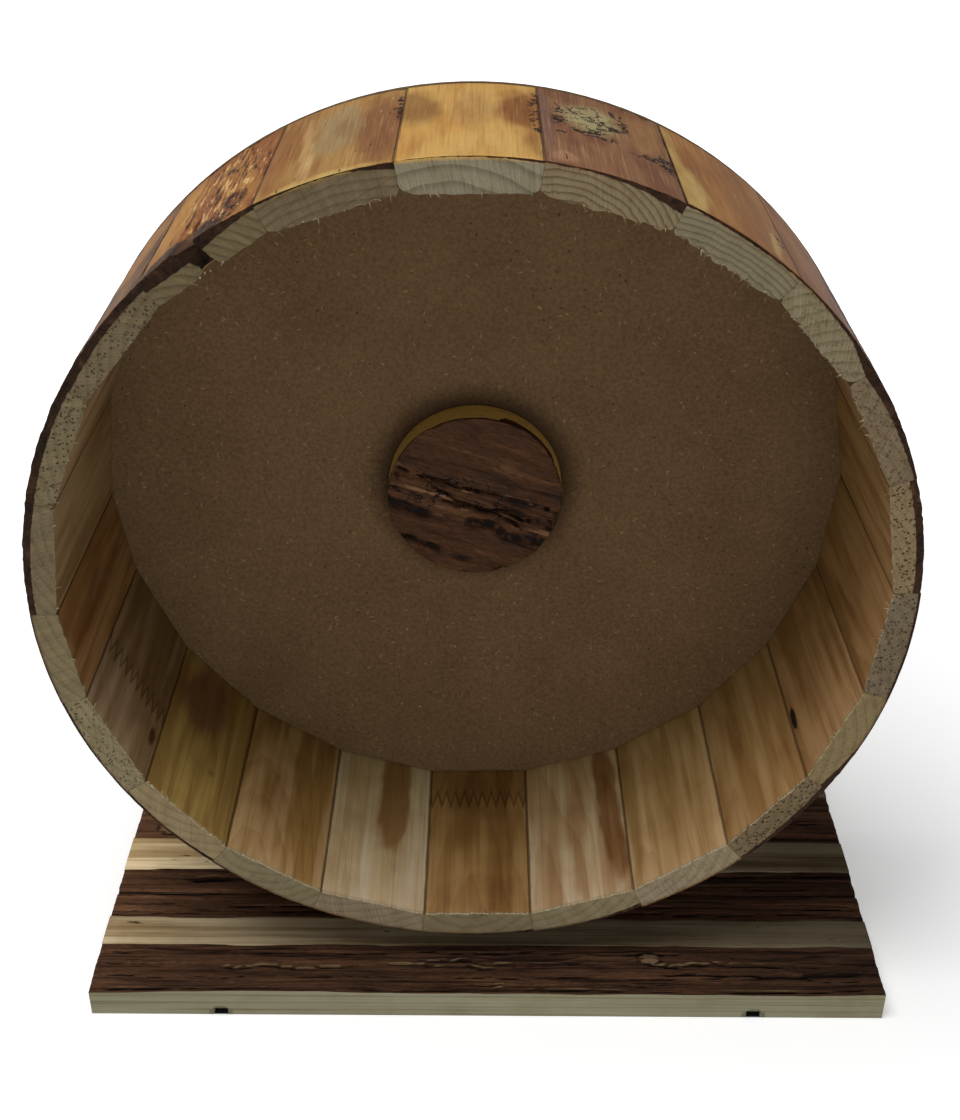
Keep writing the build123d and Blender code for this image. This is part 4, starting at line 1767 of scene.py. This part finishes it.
@dataclass
class BarkedBase:
    """Three bark-edged slabs on two cross splines.

    Glue seams that are further from the middle than seam_limit are the base's own edges. deepest and
    lip_height are in millimetres, like the drop that they limit and lift.
    """

    splines: tuple[str, str] = ("base_spline_left", "base_spline_right")
    slot_cut_length: float = 400 * MM
    seam_limit: float = 60 * MM
    groove: float = 1.6 * MM
    bark_drop: float = 0.5 * MM
    bark_layer: float = 2.4 * MM
    deepest: float = 3.4
    lip_height: float = 0.4
    knot_stretch: float = 1.7
    cuts: tuple[int, int, int] = (259, 63, 5)
    smooth_angle: float = 50.0
    seeds: dict[str, float] = field(default_factory=lambda: {"front": 1.0, "middle": 2.0, "rear": 3.0})
    looks: dict[str, SlabLook] = field(
        default_factory=lambda: {
            "front": SlabLook(
                (-55.0, -40.5),
                (
                    Fissure(-142, 30, -65.0, 1.8, 0.7, 1.6, 0.75),
                    Fissure(-30, 145, -63.4, 1.8, 0.8, 1.6, 0.6),
                    Fissure(-30, 80, -73.4, 1.4, 0.5, 1.2, 0.4),
                    Fissure(60, 145, -68.0, 1.6, 0.9, 1.4, 0.3),
                    Fissure(-142, 145, -76.2, 0.8, 0.6, 0.8, 0.45),
                    Fissure(-142, 145, -70.2, 1.2, 0.4, 0.8, 0.1),
                    Fissure(-142, 145, -58.2, 0.8, 0.5, 0.8, 0.2),
                    Fissure(-142, 145, -33.4, 0.8, 0.5, 1.0, 0.1),
                    Fissure(-142, 145, -37.0, 0.8, 0.4, 0.8, 0.1),
                ),
                ((61.0, -60.5, 3.2), (6.0, -74.0, 1.6)),
            ),
            "middle": SlabLook(
                (-13.5, 4.5),
                (
                    Fissure(-120, -60, -18.6, 1.0, 1.6, 1.6, 0.6),
                    Fissure(-142, 145, -22.6, 1.2, 0.7, 1.2, 0.2),
                    Fissure(-60, 145, -15.4, 1.2, 0.8, 1.2, 0.1),
                    Fissure(-142, 145, 17.0, 1.6, 0.8, 1.2, 0.2),
                ),
                ((-124.0, 11.5, 5.0),),
                strip_tone=1.1,
                bark_tone=1.25,
            ),
            "rear": SlabLook(
                (33.5, 55.5),
                (
                    Fissure(-130, 120, 66.0),
                    Fissure(-142, 145, 29.4, 0.8, 0.6, 1.0, 0.1),
                    Fissure(-60, 130, 73.0, 1.2),
                ),
                ((40.0, 67.0, 4.0),),
                strip_tone=0.9,
                bark_tone=1.25,
            ),
        }
    )

    def slab(self, name: str) -> Piece:
        """Models one slab at its size and cuts it fine enough for its bark.

        Args:
            name: "front", "middle" or "rear".

        Returns:
            The plain slab.
        """
        low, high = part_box(f"base_slab_{name}")
        Bench.clear()
        bpy.ops.mesh.primitive_cube_add(size=1.0)
        slab = bpy.context.object
        slab.name = f"barked_slab_{name}"
        slab.scale, slab.location = high - low, (low + high) / 2
        Bench.settle(slab)
        for axis, cuts in enumerate(self.cuts):
            Bench.cut_along(slab, axis, cuts)
        Bench.outward(slab)
        return slab

    def shape(self, slab: Piece, name: str) -> None:
        """Moves the top's vertices into bark, planed strips, grooves and cracks, and paints them, with
        painted light on the left and painted shade on the right.

        Args:
            slab: The slab.
            name: "front", "middle" or "rear".
        """
        look, seed, rows = self.looks[name], self.seeds[name], Bench.points(slab)
        low, high = rows.min(axis=0), rows.max(axis=0)
        x, y = rows[:, 0] / MM, rows[:, 1] / MM
        top = soft_step(high[2] - self.bark_layer, high[2] - 0.1 * MM, rows[:, 2])
        edge = turbulence(rows, (26.0, 60.0, 1.0), seed) * 0.7
        flat = soft_step(-0.5, 0.5, y - look.strip[0] + edge) * soft_step(0.5, -0.5, y - look.strip[1] - edge)
        laid = rows[:, [1, 0, 2]] * np.array((1.0, 1.0, 0.0))
        ridge = turbulence(laid, (300.0, 26.0, 1.0), seed + 0.3)
        lump = turbulence(laid, (90.0, 16.0, 1.0), seed + 0.6)
        drop = np.clip(self.bark_drop / MM + 0.5 - 0.5 * ridge - 0.5 * lump, 0.0, 2.2)
        marks = np.zeros((len(rows), 4))
        lengthwise = rows * np.array((1, 0, 0))
        for crack in look.fissures:
            line = crack.place + crack.wander * turbulence(lengthwise, (42.0, 1.0, 1.0), crack.place)
            along = soft_step(crack.start, crack.start + 12, x) * soft_step(crack.end, crack.end - 12, x)
            along *= soft_step(-0.55, 0.1, turbulence(lengthwise, (30.0, 1.0, 1.0), crack.place + 5))
            near = soft_step(1.0, 0.2, np.abs(y - line) / crack.width) * along * (1 - flat)
            behind = np.abs(y - line - 1.1 * crack.width) / (0.8 * crack.width)
            lip = soft_step(1.0, 0.2, behind) * along * (1 - flat)
            drop += near * crack.depth - lip * self.lip_height
            marks[:, 1] += near * 0.8
            marks[:, 2] += lip * crack.lip
        for knot_x, knot_y, size in look.knots:
            away = np.hypot((x - knot_x) / self.knot_stretch, y - knot_y) / size
            marks[:, 1] += soft_step(0.35, 0.0, np.abs(away - 0.9)) * 0.55 + soft_step(0.4, 0.1, away) * 0.5
            marks[:, 2] += soft_step(0.4, 0.0, np.abs(away - 0.5)) * 1.0
            drop -= soft_step(1.0, 0.2, away) * 0.6
        drop = np.clip(drop, 0.0, self.deepest) * (1 - flat) + flat * 0.05
        for seam in (low[1], high[1]):
            if abs(seam) < self.seam_limit:
                near = np.clip(1.0 - np.abs(rows[:, 1] - seam) / self.groove, 0.0, 1.0)
                drop += near * self.groove / MM * 0.8
                marks[:, 1] += near * 0.5
        rows[:, 2] -= top * drop * MM
        marks[:, 0] = flat
        Bench.place_points(slab, rows)
        cloudy = turbulence(laid, (30.0, 9.0, 1.0), seed + 0.8)
        # Painted light and shade: the bark is painted lighter on the left and darker on the right, where the
        # wheel's shadow falls. Its clouding is its own.
        red = np.clip(1.0 - 2.0 * rows[:, 0] + 0.35 * cloudy, 0.6, 1.5) * look.bark_tone
        red *= 1.0 + 0.6 * soft_step(look.strip[1] - 1.0, look.strip[1] + 1.0, y)
        # Painted light and shade: the planed strip is painted lighter on the left and darker on the right,
        # where the wheel's shadow falls.
        pale = look.strip_tone * np.exp(-5.8 * rows[:, 0])
        laid = rows[:, [1, 0, 2]] + np.array((0.0, seed * 0.7, 0.0))
        tone = np.stack([red * 1.05, red, red * 0.95, pale], axis=1)
        Bench.write(slab, place=laid, marks=np.clip(marks, 0, 1), tone=tone)

    def slot(self, slab: Piece) -> None:
        """Cuts the two spline slots through the slab's underside.

        Args:
            slab: The slab.
        """
        for name in self.splines:
            low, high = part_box(name)
            Bench.clear()
            bpy.ops.mesh.primitive_cube_add(size=1.0)
            cutter = bpy.context.object
            cutter.scale = (high.x - low.x, self.slot_cut_length, 2 * high.z)
            cutter.location = ((low.x + high.x) / 2, 0.0, 0.0)
            Bench.settle(cutter)
            Bench.take(slab)
            saw = slab.modifiers.new("spline_slot", "BOOLEAN")
            saw.operation, saw.solver, saw.object = "DIFFERENCE", "EXACT", cutter
            bpy.ops.object.modifier_apply(modifier=saw.name)
            bpy.data.objects.remove(cutter)

    def build(self, effects: WoodEffects, finish: SlabFinish) -> None:
        """Builds the three slabs.

        Args:
            effects: The shared effects.
            finish: The slabs' finish.
        """
        materials = [finish.edge(effects), finish.top(effects)]
        for name in self.looks:
            slab = self.slab(name)
            self.shape(slab, name)
            self.slot(slab)
            top = Bench.read(slab.data.polygons, "normal")[:, 2] > 0.3
            Bench.dress(slab, materials, np.where(top, SlabFace.TOP.value, SlabFace.SAWN.value))
            Bench.smooth(slab, self.smooth_angle)
            Bench.mount(slab, "stand", "bark_wood", f"base_slab_{name}")


@dataclass
class KeptSolids:
    """The solids that stay as constructed and only get a finish."""

    galvanised: tuple[str, ...] = ("axle_bolt", "disc_washers", "clamp_nut", "lock_nut", "upright_screws")
    turned: tuple[str, ...] = ("front_spacer", "middle_spacer", "rear_spacer")
    polished: tuple[str, ...] = ("outer_ring", "inner_ring", "balls")
    pressed: tuple[str, ...] = ("cage", "shields")

    def dress(self, effects: WoodEffects) -> None:
        """Gives every kept solid its finish.

        Args:
            effects: The shared effects.
        """
        bearing = {
            kind: [f"{end}_bearing_{part}" for end in ("front", "rear") for part in parts]
            for kind, parts in (("polished", self.polished), ("pressed", self.pressed))
        }
        pine = PlainWoodFinish("upright_pine", True, paint("ccac7a"), paint("9e7042"))
        spline = PlainWoodFinish("spline_wood", False, paint("60482e"), paint("422e1c"))
        for material, names in (
            (BoardFinish().material(effects), ["back_disc"]),
            (pine.material(effects), ["upright"]),
            (spline.material(effects), ["base_spline_left", "base_spline_right"]),
            (MetalFinish("zinc_plated_steel", "c4c6ca", "96989e", 0.36).material(), self.galvanised),
            (MetalFinish("turned_steel", "cececf", "a8a8ac", 0.28).material(), self.turned),
            (MetalFinish("bearing_steel", "d6d6d8", "bcbcc0", 0.16).material(), bearing["polished"]),
            (MetalFinish("pressed_shield", "a4a6aa", "808286", 0.42).material(), bearing["pressed"]),
        ):
            for name in names:
                Bench.dress(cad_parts[name], [material])
            LOG.info("%s: %s", material.name, ", ".join(names))


@dataclass(frozen=True)
class Lamp:
    """A square area lamp."""

    name: str
    watts: float
    size: float
    spot: tuple[float, float, float]


@dataclass
class Studio:
    """The camera, the lamps, the pale floor and the white surroundings.

    The camera's place is given as shares of the hoop's radius. glow is the floor's own light as the
    camera sees it, as a distance from the middle and a strength, near the wheel and far from it.
    """

    focal_px: float = 1511.4
    frame_px: tuple[int, int] = (960, 1120)
    principal_px: tuple[float, float] = (486.17, 606.86)
    camera_over_radius: tuple[float, float, float] = (0.0128, -2.887, 1.771)
    pitch: float = 0.5511
    yaw: float = 0.0054
    roll: float = 0.0102
    sensor_mm: float = 36.0
    lamps: tuple[Lamp, ...] = (
        Lamp("overhead_lamp", 20.0, 0.9, (-0.45, -0.28, 1.70)),
        Lamp("front_lamp", 9.0, 0.8, (0.05, -1.4, 0.06)),
    )
    aim: tuple[float, float, float] = (0.0, 0.0, 0.12)
    fill: float = 0.2
    floor_size: float = 30.0
    floor_tone: Colour = (0.90, 0.90, 0.90, 1.0)
    painted_shade_under_base: Colour = (0.03, 0.03, 0.03, 1.0)
    glow_near: tuple[float, float] = (0.16, 0.34)
    glow_far: tuple[float, float] = (0.80, 1.0)

    def camera(self, hoop: StaveHoop) -> None:
        """Sets the camera where the picture was taken.

        Args:
            hoop: The wheel's hoop, which the camera's place is measured from.
        """
        data = bpy.data.cameras.new("picture_camera")
        camera = bpy.data.objects.new("picture_camera", data)
        bpy.context.collection.objects.link(camera)
        side, back, up = (share * hoop.outer_radius for share in self.camera_over_radius)
        level = math.cos(self.pitch)
        forward = Vector((math.sin(self.yaw) * level, math.cos(self.yaw) * level, -math.sin(self.pitch)))
        right = Vector((math.cos(self.yaw), -math.sin(self.yaw), 0.0))
        above = right.cross(forward)
        across = math.cos(self.roll) * right + math.sin(self.roll) * above
        top = math.cos(self.roll) * above - math.sin(self.roll) * right
        spot = Vector((hoop.centre.x + side, hoop.front + back, hoop.centre.z + up))
        camera.matrix_world = Matrix.Translation(spot) @ Matrix((across, top, -forward)).transposed().to_4x4()
        data.sensor_fit, data.sensor_width = "AUTO", self.sensor_mm
        data.lens = self.focal_px * self.sensor_mm / self.frame_px[1]
        data.shift_x = (self.frame_px[0] / 2 - self.principal_px[0]) / self.frame_px[1]
        data.shift_y = (self.principal_px[1] - self.frame_px[1] / 2) / self.frame_px[1]
        data.clip_start = 0.01
        bpy.context.scene.camera = camera

    def hang_lamps(self) -> None:
        """Hangs a wide soft lamp overhead, a little left and in front, and a weak one low in front."""
        for lamp in self.lamps:
            data = bpy.data.lights.new(lamp.name, "AREA")
            data.energy, data.size = lamp.watts, lamp.size
            light = bpy.data.objects.new(lamp.name, data)
            bpy.context.collection.objects.link(light)
            light.location = lamp.spot
            light.rotation_euler = (Vector(self.aim) - Vector(lamp.spot)).to_track_quat("-Z", "Y").to_euler()

    def lay_floor(self) -> None:
        """Lays the pale floor, which is painted dark under the base as painted shade and glows to the eye
        further off.
        """
        Bench.clear()
        bpy.ops.mesh.primitive_plane_add(size=self.floor_size)
        floor = bpy.context.object
        floor.name = "studio_floor"
        Bench.cut_along(floor, 0, 3)
        shader = start_material("studio_floor", 0.9, 0.0)
        seen = shader.met_by("Is Camera Ray", "Is Glossy Ray")
        low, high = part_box("base_slab_middle")
        x, y, _ = shader.parts(shader.where())
        beside = abs(x - (low.x + high.x) / 2) / ((high.x - low.x) / 2)
        before = abs(y) / -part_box("base_slab_front")[0].y
        open_floor = shader.grade(shader.math("MAXIMUM", beside, before), 0.995, 1.005)
        away = shader.math("SQRT", x * x + y * y)
        (near, dim), (far, bright) = self.glow_near, self.glow_far
        glow = seen * open_floor * shader.grade(away, near, far, dim, bright)
        # Painted shade: under the base the floor is near black and does not glow, so the spline slots and
        # notches look shaded.
        tone = shader.blend(open_floor, self.painted_shade_under_base, self.floor_tone)
        shader.feed(shader.surface.inputs["Base Color"], tone)
        shader.feed(shader.surface.inputs["Emission Color"], WHITE)
        shader.feed(shader.surface.inputs["Emission Strength"], glow)
        Bench.dress(floor, [shader.material])

    def surround(self) -> None:
        """Sets the world, which is white to the eye and weak as a light."""
        world = bpy.data.worlds.new("white_surroundings")
        bpy.context.scene.world = world
        world.use_nodes = True
        shader = Shader(world.node_tree)
        seen = shader.met_by("Is Camera Ray", "Is Transmission Ray")
        sky = world.node_tree.nodes["Background"].inputs
        shader.feed(sky["Strength"], shader.grade(seen, 0.0, 1.0, self.fill, 1.0))
        shader.feed(sky["Color"], WHITE)
        bpy.context.scene.view_settings.view_transform = "Standard"

    def build(self, hoop: StaveHoop) -> None:
        """Sets up the whole studio.

        Args:
            hoop: The wheel's hoop, which the camera's place is measured from.
        """
        self.camera(hoop)
        self.hang_lamps()
        self.lay_floor()
        self.surround()
        LOG.info("studio: camera at %s", tuple(round(x, 3) for x in bpy.context.scene.camera.location))


def main() -> None:
    """Builds the looks of the whole wheel and its studio."""
    logging.basicConfig(level=logging.INFO, format="%(name)s: %(message)s")
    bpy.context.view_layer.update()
    effects = WoodEffects()
    hoop = StaveHoop()
    hoop.build(effects, StaveFinish())
    HubCap().build(effects, HubFinish())
    BarkedBase().build(effects, SlabFinish())
    KeptSolids().dress(effects)
    Studio().build(hoop)


if __name__ == "__main__":
    main()
